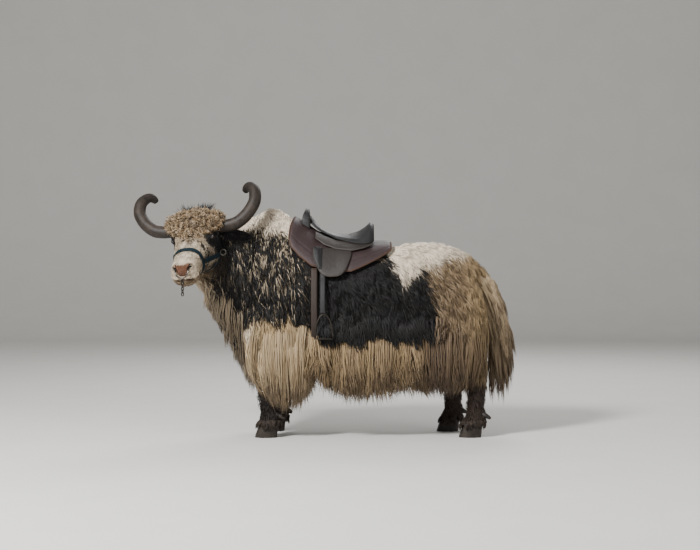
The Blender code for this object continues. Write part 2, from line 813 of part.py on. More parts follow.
def clump(centre, size, out):
    """A rounded clump of curls, flattened a little towards the skull."""
    shape = bmesh.new()
    bmesh.ops.create_uvsphere(shape, u_segments=CURL_SIDES, v_segments=CURL_RINGS, radius=size)
    bmesh.ops.scale(shape, vec=(1, 1, 0.8), verts=shape.verts)
    turn = out.to_track_quat("Z", "Y").to_matrix()
    bmesh.ops.rotate(shape, cent=(0, 0, 0), matrix=turn, verts=shape.verts)
    bmesh.ops.translate(shape, vec=centre, verts=shape.verts)
    return new_object("clump", shape)


def curls():
    """All clumps of the forelock, in rows over the poll and down the brow."""
    draws = random.Random(LOCK_SEED + 6)
    heart = on_face(0.06, 0, -0.10)
    made = []
    for forward, up, half, radius, count in CURLS:
        for place in range(count):
            across = span(-1, 1, place / (count - 1))
            drop = 0.020 * across ** 2
            out = near(draws, half * across, 0.006)
            centre = by_poll(1, out, near(draws, forward - drop, 0.006), up - drop)
            made.append(clump(centre, near(draws, radius, 0.005), (centre - heart).normalized()))
    return made


# Nodes of flesh

def collar_box(front, shift):
    """Everything before or behind the slanted cut between neck and torso."""
    reach = 3.0
    start = COLLAR_X + shift
    low = (start - reach if front else start, -reach, COLLAR_Z - reach)
    high = (start if front else start + reach, reach, COLLAR_Z + reach)
    return box(low, high, COLLAR_LEAN, (start, 0, COLLAR_Z))


def build_body():
    """Torso and neck are modelled as one form and parted at the collar."""
    body = torso_flesh()
    boolean(body, "UNION", [neck_flesh()])
    torso = copy_of(body, "torso")
    keep_within(torso, collar_box(False, GAP / 2))
    neck = copy_of(body, "neck")
    keep_within(neck, collar_box(True, -GAP / 2))
    return body, torso, neck


def build_torso(torso, body):
    locks = []
    for name, side in SIDES.items():
        locks += skirt_locks(name, side, tree_of(body))
    boolean(torso, "UNION", locks, "MANIFOLD")
    return as_part(join_flat(torso), "coat_black")


def leg_reach(pair, side):
    """Corners of the space that one leg and its hanging coat may fill."""
    low_y, high_y = (GAP / 2, 0.8) if side > 0 else (-0.8, -GAP / 2)
    if pair == "front":
        return (CHEST_PLANE + GAP, low_y, 0), (GIRTH_FRONT, high_y, 1.2)
    name = "right" if side > 0 else "left"
    return (FLANK_PLANE[name] + GAP, low_y, 0), (1.2, high_y, 1.2)


def tail_space():
    """What the legs leave free for the tail."""
    return box((TAIL_PLANE, -TAIL_HALF, 0), (1.2, TAIL_HALF, TAIL_TOP))


def build_leg(pair, name, side, body):
    leg = leg_flesh(pair, side)
    keep_within(leg, box(*leg_reach(pair, side)))
    bare = copy_of(leg, "bare")
    boolean(bare, "DIFFERENCE", [grown(body)])
    boolean(leg, "UNION", bell_locks(pair, name, side, tree_of(bare), tree_of(body)), "MANIFOLD")
    cutters = [grown(body)]
    if pair == "hind":
        cutters.append(tail_space())
    boolean(leg, "DIFFERENCE", cutters, "MANIFOLD")
    leg.name = "leg_" + pair + "_" + name
    as_part(join_flat(leg), "coat_tan")
    return bare


def build_tail(body):
    tail = tail_flesh()
    boolean(tail, "UNION", tail_locks(tree_of(tail)), "MANIFOLD")
    boolean(tail, "DIFFERENCE", [grown(body), tail_front()], "MANIFOLD")
    tail.name = "tail"
    return as_part(join_flat(tail), "coat_tan")


def tail_front():
    return box((0, -1, -1), (TAIL_PLANE + GAP, 1, TAIL_TOP))


def forelock(neck, horns, ears):
    clumps = curls()
    mop = clumps.pop(0)
    boolean(mop, "UNION", clumps, "MANIFOLD")
    boolean(mop, "DIFFERENCE", [grown(other) for other in [neck] + horns + ears], "MANIFOLD")
    return mop


def finish_head(head, mop):
    boolean(head, "UNION", [mop], "MANIFOLD")
    lids = []
    cutters = []
    for side in SIDES.values():
        lids.append(lid_ring(side))
    boolean(head, "UNION", lids)
    for side in SIDES.values():
        cutters.append(ball(eye_centre(side), EYE_RADIUS + 2 * GAP))
        cutters.append(nostril(side))
    cutters.append(mouth_groove())
    boolean(head, "DIFFERENCE", cutters)
    head.name = "head"
    return as_part(join_flat(head), "coat_cream")


def eye_centre(side):
    along, out, up = EYE
    return on_face(along, -side * out, up)


def ball(centre, radius):
    shape = bmesh.new()
    bmesh.ops.create_uvsphere(shape, u_segments=BALL_SIDES, v_segments=BALL_RINGS, radius=radius)
    bmesh.ops.translate(shape, vec=centre, verts=shape.verts)
    return new_object("ball", shape)


def lid_ring(side):
    """The rim of both lids, round the eye and a little longer than high."""
    centre = eye_centre(side)
    out = -side * HEAD_LEFT
    look = (out * 0.88 + FACE * 0.42 + BROW * 0.22).normalized()
    along = (FACE - look * FACE.dot(look)).normalized()
    up = look.cross(along)
    points = []
    middle = centre + look * LID_OUT
    for place in range(LID_TURNS):
        angle = 2 * math.pi * place / LID_TURNS
        points.append(middle + along * LID_LONG * math.cos(angle) + up * LID_HIGH * math.sin(angle))
    return tube("lids", points, LID_THICK, 0, closed=True)


def nostril(side):
    along, out, up = NOSTRIL
    shape = bmesh.new()
    bmesh.ops.create_uvsphere(shape, u_segments=10, v_segments=6, radius=1.0)
    bmesh.ops.scale(shape, vec=NOSTRIL_SIZE, verts=shape.verts)
    frame = Matrix((HEAD_LEFT, BROW, FACE)).transposed()
    turn = frame @ Matrix.Rotation(side * NOSTRIL_TURN, 3, "Z")
    bmesh.ops.rotate(shape, cent=(0, 0, 0), matrix=turn, verts=shape.verts)
    bmesh.ops.translate(shape, vec=on_face(along, -side * out, up), verts=shape.verts)
    return new_object("nostril", shape)


def mouth_groove():
    """A shallow channel along the line of the lips, from corner to corner."""
    half = [Vector(point) for point in MOUTH]
    line = [Vector((a, -o, u)) for a, o, u in reversed(half[1:])] + half
    points = [on_face(*row) for row in smooth_path(line, 2)]
    return tube("mouth", points, MOUTH_WIDE, 1)


def build_horn(name, side):
    path = smooth_path(HORN, 2)
    points = [by_poll(side, out, forward, up) for out, forward, up, radius in path]
    return tube("horn_" + name, points, [row[3] for row in path], 2)


def finish_horn(horn, skull):
    boolean(horn, "DIFFERENCE", [grown(skull)])
    return as_part(horn, "horn")


def ear_point(side, out, forward, up):
    """A point of an ear, after the ear is laid back round its root."""
    root = EAR[0][0]
    back = EAR_BACK[side]
    reach = out - root
    return by_poll(side, root + reach * math.cos(back), forward - reach * math.sin(back), up)


def build_ear(name, side, skull, neck):
    """A hanging leaf, hollow on its front and lower face."""
    rings = []
    back = EAR_BACK[side]
    facing = HEADING * math.cos(back) - HEAD_LEFT * side * math.sin(back)
    for place, (out, forward, up, half) in enumerate(EAR):
        centre = ear_point(side, out, forward, up)
        ahead = ear_point(side, *EAR[min(place + 1, len(EAR) - 1)][:3])
        behind = ear_point(side, *EAR[max(place - 1, 0)][:3])
        along = (ahead - behind).normalized()
        front = (facing * 0.9 - UP * 0.45).normalized()
        front = (front - along * front.dot(along)).normalized()
        rise = along.cross(front)
        share = half / EAR_HALF
        thick = EAR_THICKNESS * span(0.35, 1.0, share)
        cup = EAR_CUP * share
        outer = []
        inner = []
        for step in range(5):
            turn = math.pi * step / 4
            across = math.cos(turn)
            depth = math.sin(turn)
            outer.append(centre + rise * half * across - front * (cup * depth + thick * 0.5))
            inner.append(centre + rise * half * 0.80 * across - front * (cup * 0.7 * depth - thick * 0.35))
        rings.append(outer + inner[::-1])
    ear = loft("ear_" + name, rings)
    boolean(ear, "DIFFERENCE", [grown(skull), grown(neck)])
    return as_part(ear, "coat_dark")


def build_eye(name, side):
    eye = ball(eye_centre(side), EYE_RADIUS)
    eye.name = "eye_" + name
    return as_part(eye, "eye")


# Hooves

# Claw, from the sole up: z, half length, width, shift towards the heel
CLAW_ROWS = (
    (0.000, 0.064, 0.047, -0.012), (0.012, 0.064, 0.047, -0.011), (0.045, 0.059, 0.0475, -0.003),
    (HOOF_TOP - GAP, 0.053, 0.047, 0.006),
)
CLAW_TURNS = 6
DEWCLAW_SIZE = {"radius1": 0.019, "radius2": 0.007, "depth": 0.062}
DEWCLAW_TURN = math.radians(118)
DEWCLAW_Z = 0.122


def build_claw(pair, name, side, which):
    """One of the two claws of a foot, flat below, with its straight side to the cleft."""
    table = FORELEG if pair == "front" else HINDLEG
    foot_x = table[-1][1] + right_shift(pair, side, 0.0)
    foot_y = side * table[-1][2]
    away = side if which == "outer" else -side
    rings = []
    for z, depth, half, back in CLAW_ROWS:
        points = []
        for step in range(CLAW_TURNS + 1):
            angle = math.pi * step / CLAW_TURNS
            x = foot_x + back - depth * math.cos(angle)
            y = foot_y + away * (0.003 + half * math.sin(angle) ** 0.7)
            points.append(Vector((x, y, z)))
        rings.append(points)
    claw = loft("hoof_" + pair + "_" + name + "_" + which, rings)
    return as_part(claw, "hoof")


def build_dewclaw(pair, name, side, which, bare):
    table = FORELEG if pair == "front" else HINDLEG
    x, out = table[-2][1:3]
    x += right_shift(pair, side, 0.12)
    away = side if which == "outer" else -side
    made = "dewclaw_" + pair + "_" + name + "_" + which
    shape = bmesh.new()
    bmesh.ops.create_cone(shape, cap_ends=True, segments=6, **DEWCLAW_SIZE)
    turn = Matrix.Rotation(DEWCLAW_TURN, 3, "Y")
    bmesh.ops.rotate(shape, cent=(0, 0, 0), matrix=turn, verts=shape.verts)
    place = Vector((x + 0.056, side * out + away * 0.021, DEWCLAW_Z))
    bmesh.ops.translate(shape, vec=place, verts=shape.verts)
    claw = new_object(made, shape)
    boolean(claw, "DIFFERENCE", [grown(bare)])
    return as_part(claw, "hoof")


# Saddle, in layers over the barrel

PAD_LIFT = 0.007
PAD_SIDE = 0.013
PAD_CREST = 0.010  # what the pad is thicker by near the spine
LEATHER = 0.005
# Lift of each layer of leather over the pad
STRAP_LIFT = 0.0015
FLAP_LIFT = 0.0085
SKIRT_LIFT = 0.0150
SEAT_LIFT = 0.0228

# Lower edge of the pad along the body: x, z
PAD_EDGE = (
    (-0.356, 1.150), (-0.345, 1.100), (-0.290, 1.040), (-0.220, 0.985), (-0.100, 0.960),
    (0.005, 0.952), (0.083, 0.985), (0.160, 1.022), (0.215, 1.055), (0.240, 1.075),
)
FLAP_X = (-0.2135, 0.0085)
FLAP_LOW = 0.9166
FLAP_TOP = 1.065
KNEE_ROLL_X = (-0.2110, -0.1600)
SEAT_TOP = (
    (-0.232, 1.292), (-0.205, 1.252), (-0.170, 1.218), (-0.130, 1.194), (-0.070, 1.178),
    (-0.005, 1.177), (0.050, 1.194), (0.090, 1.220), (0.118, 1.246), (0.140, 1.240),
)
SEAT_HALF = (
    (-0.232, 0.055), (-0.205, 0.075), (-0.170, 0.095), (-0.130, 0.110), (-0.070, 0.130),
    (-0.005, 0.145), (0.050, 0.155), (0.090, 0.155), (0.118, 0.145), (0.140, 0.125),
)
GIRTH_X = -0.204
GIRTH_HALF = 0.018
GIRTH_LIFT = 0.0035
STRAP_X = -0.155
STRAP_HALF = 0.014
STIRRUP_X = -0.148
STIRRUP_HALF = 0.0535
STIRRUP_LOW = 0.577
STIRRUP_TOP = 0.712
STIRRUP_OUT = 0.352
STIRRUP_WIRE = 0.0045


def plate(name, place, columns, rows):
    """A curved plate between two like grids; place gives a point for u, v and the lower or upper face."""
    shape = bmesh.new()
    for face in (0, 1):
        made = bmesh.ops.create_grid(shape, x_segments=columns, y_segments=rows, size=0.5)
        for vert in made["verts"]:
            vert.co = place(vert.co.x + 0.5, vert.co.y + 0.5, face)
    rim = [edge for edge in shape.edges if edge.is_boundary]
    bmesh.ops.bridge_loops(shape, edges=rim)
    bmesh.ops.triangulate(shape, faces=shape.faces, quad_method="FIXED")
    return new_object(name, shape)


def span(low, high, share):
    return low + (high - low) * share


def build_pad():
    def place(u, v, face):
        x = span(PAD_EDGE[0][0], PAD_EDGE[-1][0], u)
        reach = barrel_angle(x, row_at(PAD_EDGE, x)[1])
        angle = span(-reach, reach, v)
        lift = PAD_LIFT
        if face:
            lift += PAD_SIDE + PAD_CREST * math.cos(angle) ** 4
        return barrel_point(x, angle, lift)
    return as_part(plate("saddle_pad", place, 9, 12), "worn_leather")


def pad_top(angle):
    return PAD_LIFT + PAD_SIDE + PAD_CREST * math.cos(angle) ** 4


def flap_low(x):
    middle = (FLAP_X[0] + FLAP_X[1]) / 2
    share = abs(x - middle) / ((FLAP_X[1] - FLAP_X[0]) / 2)
    return FLAP_LOW + 0.115 * share ** 3.2


def build_flap(name, side):
    def place(u, v, face):
        x = span(*FLAP_X, u)
        low = barrel_angle(x, flap_low(x))
        high = barrel_angle(x, FLAP_TOP)
        angle = span(low, high, v)
        lift = pad_top(angle) + FLAP_LIFT + face * LEATHER
        return barrel_point(x, side * angle, lift)
    return as_part(plate("saddle_flap_" + name, place, 7, 4), "saddle_leather")


def build_knee_roll(name, side):
    def place(u, v, face):
        x = span(*KNEE_ROLL_X, u)
        low = barrel_angle(x, max(flap_low(x) + 0.006, 0.955))
        high = barrel_angle(x, 1.070)
        angle = span(low, high, v)
        swell = face * 0.009 * math.sin(math.pi * span(0.12, 0.88, u))
        lift = pad_top(angle) + SKIRT_LIFT + swell + face * 0.001
        return barrel_point(x, side * angle, lift)
    return as_part(plate("knee_roll_" + name, place, 3, 4), "black_leather")


SKIRT_X = (-0.2000, 0.1360)
# Lower edge of the small leather skirt that shows under the seat: x, z
SKIRT_EDGE = (
    (-0.200, 1.115), (-0.150, 1.080), (-0.080, 1.055), (0.015, 1.045), (0.083, 1.058), (0.136, 1.078),
)
SEAT_RIM = 0.011


def build_skirt(name, side):
    def place(u, v, face):
        x = span(*SKIRT_X, u)
        low = barrel_angle(x, row_at(SKIRT_EDGE, x)[1])
        high = barrel_angle(x, row_at(SKIRT_EDGE, x)[1]) * 0.62
        angle = span(low, high, v)
        lift = pad_top(angle) + SKIRT_LIFT + face * LEATHER
        return barrel_point(x, side * angle, lift)
    return as_part(plate("saddle_skirt_" + name, place, 7, 2), "saddle_leather")


def seat_floor(x, y):
    """Height of the layers that the seat lies on."""
    row = row_at(TORSO, x)
    angle = math.asin(min(1.0, abs(y) / row[1]))
    lift = pad_top(angle) + SEAT_LIFT
    middle = row[3] + (row[2] - row[3]) * WIDEST
    share = abs(y) / (row[1] + lift)
    return middle + (row[2] - middle + lift) * (1 - share ** row[4]) ** (1 / row[4])


def build_seat():
    """The seat with its cantle, dished along and across."""
    rings = []
    for x, top in SEAT_TOP:
        half = row_at(SEAT_HALF, x)[1]
        edge = seat_floor(x, half) + SEAT_RIM
        upper = []
        lower = []
        for step in range(9):
            across = math.cos(math.pi * step / 8)
            y = half * across
            upper.append(Vector((x, y, edge + (top - edge) * (1 - abs(across) ** 2.2))))
            lower.append(Vector((x, y, seat_floor(x, y))))
        rings.append(upper + lower[::-1])
    return as_part(loft("saddle_seat", rings), "saddle_leather")


POMMEL_X = (-0.2800, -0.2335)
POMMEL_HALF = 0.088
POMMEL_TOP = 1.325
POMMEL_WALL = 0.024
POMMEL_GAP = 0.001


def build_pommel():
    """The arch in front of the seat, standing on the pad."""
    def place(u, v, face):
        turn = math.pi * v
        taper = math.sin(turn) ** 2
        x = span(POMMEL_X[0] + 0.018 * taper, POMMEL_X[1] - 0.004 * taper, u)
        half = POMMEL_HALF - (0 if face else POMMEL_WALL * 0.8)
        y = half * math.cos(turn)
        foot = seat_floor(x, half) - SEAT_LIFT + POMMEL_GAP
        top = POMMEL_TOP - (0 if face else POMMEL_WALL)
        return Vector((x, y, foot + (top - foot) * math.sin(turn) ** 0.8))
    return as_part(plate("saddle_pommel", place, 3, 12), "black_leather")


def build_leather(name, side):
    """The strap that the stirrup hangs by, from under the flap to the stirrup's eye."""
    def place(u, v, face):
        x = span(STRAP_X - STRAP_HALF, STRAP_X + STRAP_HALF, u)
        z = span(1.030, STIRRUP_TOP + 0.012, v)
        drop = max(0.0, 0.93 - z) / 0.218
        angle = barrel_angle(x, z)
        lift = pad_top(angle) + STRAP_LIFT + face * LEATHER * 0.9
        if z < 0.93:
            point = barrel_point(x, side * angle, lift)
            reach = STIRRUP_OUT + (face - 0.5) * LEATHER * 0.9
            point.y = side * span(abs(point.y), reach, min(1.0, drop))
            point.z = z
            return point
        return barrel_point(x, side * angle, lift)
    return as_part(plate("stirrup_leather_" + name, place, 2, 9), "black_leather")


def build_stirrup(name, side):
    """An arched iron with a flat tread."""
    top = STIRRUP_TOP + 0.006
    points = []
    for step in range(11):
        turn = math.pi * step / 10
        x = STIRRUP_X + (STIRRUP_HALF - STIRRUP_WIRE) * math.cos(turn) * (1.0 - 0.10 * math.sin(turn))
        z = span(STIRRUP_LOW + 0.005, top, math.sin(turn) ** 0.75)
        points.append((x, side * STIRRUP_OUT, z))
    arch = tube("stirrup_" + name, points, STIRRUP_WIRE, 1)
    shape = bmesh.new()
    bmesh.ops.create_cube(shape, size=1.0)
    bmesh.ops.scale(shape, vec=(2 * STIRRUP_HALF, 0.034, 0.008), verts=shape.verts)
    bmesh.ops.bevel(shape, geom=shape.edges[:], offset=0.0025, segments=1, affect="EDGES", profile=0.5)
    bmesh.ops.translate(shape, vec=(STIRRUP_X, side * STIRRUP_OUT, STIRRUP_LOW + 0.004), verts=shape.verts)
    boolean(arch, "UNION", [new_object("tread", shape)])
    return as_part(arch, "steel")


def build_girth():
    """The strap under the barrel that holds the saddle on."""
    def place(u, v, face):
        x = span(GIRTH_X - GIRTH_HALF, GIRTH_X + GIRTH_HALF, u)
        start = barrel_angle(x, 0.975)
        angle = start + v * (2 * math.pi - 2 * start)
        return barrel_point(x, angle, GIRTH_LIFT + face * LEATHER)
    return as_part(plate("girth", place, 1, 20), "worn_leather")


# Halter, nose ring

NOSE_RING_LOW = (0.511, 0.0, -0.076)
NOSE_WIRE = 0.0030
CHAIN_SIZE = (0.010, 0.007, 0.095)
NOSEBAND_ALONG = 0.330
WEB = 0.020
WEB_THICK = 0.0032
WEB_LIFT = 0.0012
STRAP_RAISE = 0.0035
JAW_RING = (0.118, math.radians(-14))
CHIN_LINE = 0.262


def head_point(along, angle, lift=0.0):
    """A point over the head; the angle is zero at the animal's left and a quarter turn on top."""
    along, half, rise, drop = row_at(HEAD, along)
    across = math.cos(angle)
    depth = (rise + drop) / 2
    bend = 2.5 if math.sin(angle) >= 0 else 2.3
    up = (rise - drop) / 2 + (depth + lift) * rounded(math.sin(angle), bend)
    return on_face(along, (half + lift) * rounded(across, bend), up)


def head_normal(along, angle):
    step = 0.002
    back = head_point(along + step, angle) - head_point(along - step, angle)
    turned = head_point(along, angle + step) - head_point(along, angle - step)
    out = back.cross(turned).normalized()
    return out if out.dot(head_point(along, angle) - on_face(along, 0, -0.10)) > 0 else -out


def head_strap(name, route):
    """Webbing laid over the head through places given as distance along the face and angle."""
    rows = smooth_path(route, 3)
    count = len(rows) - 1

    def place(u, v, face):
        spot = v * count
        low = min(int(spot), count - 1)
        along, angle = [span(a, b, spot - low) for a, b in zip(rows[low], rows[low + 1])]
        ahead = rows[min(low + 1, count)]
        behind = rows[max(low - 1, 0)]
        line = head_point(*ahead) - head_point(*behind)
        here = head_point(along, angle, STRAP_RAISE + face * WEB_THICK)
        out = head_normal(along, angle)
        across = line.cross(out).normalized()
        return here + across * WEB * (u - 0.5)
    return as_part(plate(name, place, 1, count), "webbing")


def noseband():
    """The loop round the muzzle, closed by a ring of its own length."""
    rings = []
    for place in range(24):
        angle = 2 * math.pi * place / 24
        corners = []
        for shift, lift in ((-0.5, 0), (0.5, 0), (0.5, WEB_THICK), (-0.5, WEB_THICK)):
            corners.append(head_point(NOSEBAND_ALONG + shift * WEB, angle, WEB_LIFT + lift))
        rings.append(corners)
    shape = bmesh.new()
    rows = [[shape.verts.new(point) for point in corners] for corners in rings]
    for here, ahead in zip(rows, rows[1:] + rows[:1]):
        for place in range(4):
            after = (place + 1) % 4
            shape.faces.new((here[place], here[after], ahead[after], ahead[place]))
    return as_part(new_object("halter_noseband", shape), "webbing")


def mirrored(angle, side):
    return angle if side < 0 else math.pi - angle


def halter_ring(name, side):
    along, angle = JAW_RING
    turned = mirrored(angle, side)
    centre = head_point(along, turned, 0.0085)
    out = (centre - head_point(along, turned, 0.0)).normalized()
    points = []
    line = out.cross(UP).normalized()
    rise = line.cross(out)
    for step in range(10):
        turn = 2 * math.pi * step / 10
        points.append(centre + line * 0.015 * math.cos(turn) + rise * 0.015 * math.sin(turn))
    return as_part(tube("halter_ring_" + name, points, 0.0028, 1, closed=True), "steel")


def build_halter():
    noseband()
    along, angle = JAW_RING
    for name, side in SIDES.items():
        start = NOSEBAND_ALONG - WEB / 2 - 0.009
        cheek = [
            (start, mirrored(math.radians(-4), side)),
            ((start + along) / 2, mirrored(math.radians(-10), side)),
            (along + 0.020, mirrored(angle, side)),
        ]
        head_strap("halter_cheek_" + name, cheek)
        halter_ring(name, side)
    left = mirrored(angle, -1) - math.radians(9)
    right = -math.pi - left
    under = [
        (along + 0.012, left),
        (0.200, math.radians(-50)),
        (CHIN_LINE, math.radians(-90)),
        (0.200, math.radians(-130)),
        (along + 0.012, right),
    ]
    head_strap("halter_throat", under)


def build_nose_ring():
    half = [
        (0.470, 0.037, -0.040), (0.492, 0.038, -0.042), (0.506, 0.034, -0.052), (0.512, 0.026, -0.064),
        (0.512, 0.013, -0.073), NOSE_RING_LOW,
    ]
    line = half + [(along, -out, up) for along, out, up in reversed(half[:-1])]
    points = [on_face(*row) for row in line]
    return as_part(tube("nose_ring", points, NOSE_WIRE, 1), "steel")


def build_nose_chain():
    """The short chain that hangs from the nose ring, as one plain bar."""
    top = on_face(*NOSE_RING_LOW) - UP * (NOSE_WIRE + GAP)
    shape = bmesh.new()
    bmesh.ops.create_cube(shape, size=1.0)
    bmesh.ops.scale(shape, vec=CHAIN_SIZE, verts=shape.verts)
    bmesh.ops.translate(shape, vec=top - UP * CHAIN_SIZE[2] / 2, verts=shape.verts)
    return as_part(new_object("nose_chain", shape), "steel")


clear_scene()
PARTS = new_group("yak")
CUTTERS = new_group("cutters", hidden=True)
STANCE = bpy.data.objects.new("stance", None)
STANCE.location = (STANCE_X, STANCE_Y, 0)
PARTS.objects.link(STANCE)


def main():
    body, torso, neck = build_body()
    skull = head_flesh()
    skull.name = "skull"
    build_torso(torso, body)

    for name, side in SIDES.items():
        for pair in ("front", "hind"):
            bare = build_leg(pair, name, side, body)
            for which in ("inner", "outer"):
                build_claw(pair, name, side, which)
                build_dewclaw(pair, name, side, which, bare)

    build_tail(body)
    horns = [build_horn(name, side) for name, side in SIDES.items()]
    ears = [build_ear(name, side, skull, neck) for name, side in SIDES.items()]
    mop = forelock(neck, horns, ears)
    finish_head(copy_of(skull, "head"), mop)
    for name, side in SIDES.items():
        build_eye(name, side)
    for horn in horns:
        finish_horn(horn, skull)

    boolean(neck, "UNION", beard_locks(tree_of(neck)), "MANIFOLD")
    boolean(neck, "DIFFERENCE", [grown(skull)], "MANIFOLD")
    as_part(join_flat(neck), "coat_black")

    build_pad()
    build_seat()
    build_pommel()
    build_girth()
    for name, side in SIDES.items():
        build_flap(name, side)
        build_knee_roll(name, side)
        build_skirt(name, side)
        build_leather(name, side)
        build_stirrup(name, side)

    build_halter()
    build_nose_ring()
    build_nose_chain()

    for left in list(CUTTERS.objects):
        bpy.data.objects.remove(left, do_unlink=True)


main()
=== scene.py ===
"""Looks of a saddled domestic yak: skin, coat, horns, hooves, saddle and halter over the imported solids.

Every length is in metres. The animal's sizes are in a stance frame, in which X runs from the chest to the
tail with the middle of the barrel at zero, Y from its left to its right and Z up; STANCE carries them to the
frame of the part. Left and right are the animal's own.
"""

import math

import bmesh
import bpy
import numpy as np
from mathutils import Matrix, Vector
from mathutils.bvhtree import BVHTree
from mathutils.kdtree import KDTree


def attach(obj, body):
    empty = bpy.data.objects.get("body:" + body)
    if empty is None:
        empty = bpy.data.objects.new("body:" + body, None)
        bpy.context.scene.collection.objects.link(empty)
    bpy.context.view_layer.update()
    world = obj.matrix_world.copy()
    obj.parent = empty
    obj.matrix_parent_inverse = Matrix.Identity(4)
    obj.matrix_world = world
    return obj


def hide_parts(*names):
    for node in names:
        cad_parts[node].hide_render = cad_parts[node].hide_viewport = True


bl_info = {
    "name": "Saddled yak",
    "version": (1, 0, 0),
    "blender": (4, 5, 0),
    "location": "3D View > Sidebar > Yak",
    "description": "Skin, long coat, horns, hooves, saddle and halter of a life-size domestic yak",
    "category": "Add Mesh",
}

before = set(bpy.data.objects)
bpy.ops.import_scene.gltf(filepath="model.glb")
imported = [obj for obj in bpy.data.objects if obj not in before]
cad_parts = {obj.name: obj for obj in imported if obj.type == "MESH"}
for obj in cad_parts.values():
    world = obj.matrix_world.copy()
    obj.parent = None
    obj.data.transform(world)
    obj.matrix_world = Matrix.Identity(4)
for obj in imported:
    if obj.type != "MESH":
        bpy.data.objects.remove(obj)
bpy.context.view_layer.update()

STANCE = np.array((0.149, 0.116, 0.0))
UP = Vector((0, 0, 1))
SIDES = {"left": -1, "right": 1}

# Barrel: x, half width, top, bottom, power of the upper outline
TORSO = (
    (-0.665, 0.080, 0.960, 0.740, 2.0),
    (-0.640, 0.150, 1.080, 0.660, 2.0),
    (-0.590, 0.210, 1.232, 0.590, 1.9),
    (-0.530, 0.245, 1.306, 0.540, 1.75),
    (-0.460, 0.265, 1.334, 0.505, 1.65),
    (-0.380, 0.280, 1.308, 0.480, 1.65),
    (-0.290, 0.292, 1.236, 0.455, 1.75),
    (-0.190, 0.302, 1.166, 0.430, 1.9),
    (-0.080, 0.310, 1.126, 0.415, 2.0),
    (0.040, 0.315, 1.110, 0.410, 2.05),
    (0.160, 0.315, 1.108, 0.412, 2.05),
    (0.280, 0.310, 1.114, 0.430, 2.05),
    (0.390, 0.300, 1.130, 0.470, 2.05),
    (0.500, 0.282, 1.128, 0.530, 2.05),
    (0.600, 0.255, 1.104, 0.590, 2.05),
    (0.680, 0.215, 1.072, 0.650, 2.0),
    (0.735, 0.160, 1.022, 0.720, 2.0),
    (0.765, 0.085, 0.960, 0.800, 2.0),
)
BELLY_POWER = 2.5
WIDEST = 0.42

# Neck along its bent axis: x, y, z, half width, rise, drop
NECK = (
    (-0.470, 0.000, 0.960, 0.205, 0.310, 0.330),
    (-0.580, -0.004, 0.975, 0.196, 0.305, 0.345),
    (-0.680, -0.022, 1.000, 0.176, 0.270, 0.325),
    (-0.765, -0.058, 1.030, 0.152, 0.222, 0.285),
    (-0.830, -0.108, 1.060, 0.132, 0.175, 0.225),
    (-0.868, -0.165, 1.085, 0.115, 0.140, 0.165),
    (-0.886, -0.215, 1.090, 0.095, 0.110, 0.120),
)

POLL = Vector((-0.885, -0.190, 1.259))
HEAD_TURN = math.radians(10.3)
HEAD_PITCH = math.radians(31.6)
HEAD_ROLL = math.radians(6)
# Along the face from the poll: distance, half width, rise over the line of the face, drop under it
HEAD = (
    (-0.075, 0.060, -0.075, 0.150),
    (-0.050, 0.094, -0.030, 0.200),
    (-0.010, 0.114, 0.000, 0.235),
    (0.050, 0.124, 0.016, 0.258),
    (0.105, 0.128, 0.020, 0.264),
    (0.160, 0.125, 0.014, 0.256),
    (0.215, 0.108, 0.006, 0.230),
    (0.270, 0.092, 0.000, 0.200),
    (0.330, 0.080, -0.003, 0.176),
    (0.385, 0.077, -0.004, 0.162),
    (0.425, 0.081, -0.006, 0.162),
    (0.458, 0.078, -0.012, 0.160),
    (0.480, 0.066, -0.026, 0.150),
    (0.491, 0.040, -0.044, 0.128),
)
EYE = (0.150, 0.108, -0.036)
EYE_RADIUS = 0.0195
NOSTRIL = (0.480, 0.047, -0.034)
MOUTH = (
    (0.500, 0.0, -0.101), (0.482, 0.045, -0.101), (0.440, 0.078, -0.102), (0.385, 0.082, -0.099),
    (0.345, 0.084, -0.091),
)

# Horn: out, forward and up from the poll of a level head, radius
HORN = (
    (0.060, 0.004, -0.050, 0.034),
    (0.115, 0.012, -0.054, 0.0345),
    (0.170, 0.016, -0.056, 0.0355),
    (0.215, 0.016, -0.052, 0.036),
    (0.256, 0.010, -0.038, 0.0365),
    (0.308, -0.008, 0.006, 0.0365),
    (0.344, -0.036, 0.066, 0.0355),
    (0.344, -0.072, 0.122, 0.034),
    (0.325, -0.102, 0.150, 0.031),
    (0.303, -0.120, 0.160, 0.028),
    (0.284, -0.132, 0.153, 0.025),
    (0.270, -0.138, 0.136, 0.0195),
    (0.266, -0.139, 0.130, 0.010),
)
# Ear in the same frame: out, forward, up, half width of the leaf
EAR = (
    (0.080, -0.040, -0.104, 0.018),
    (0.130, -0.045, -0.110, 0.030),
    (0.180, -0.050, -0.118, 0.041),
    (0.230, -0.055, -0.125, 0.040),
    (0.275, -0.060, -0.131, 0.026),
    (0.303, -0.062, -0.135, 0.007),
)

EAR_BACK = {-1: 0.0, 1: math.radians(74)}
EAR_WIDEST = 0.041

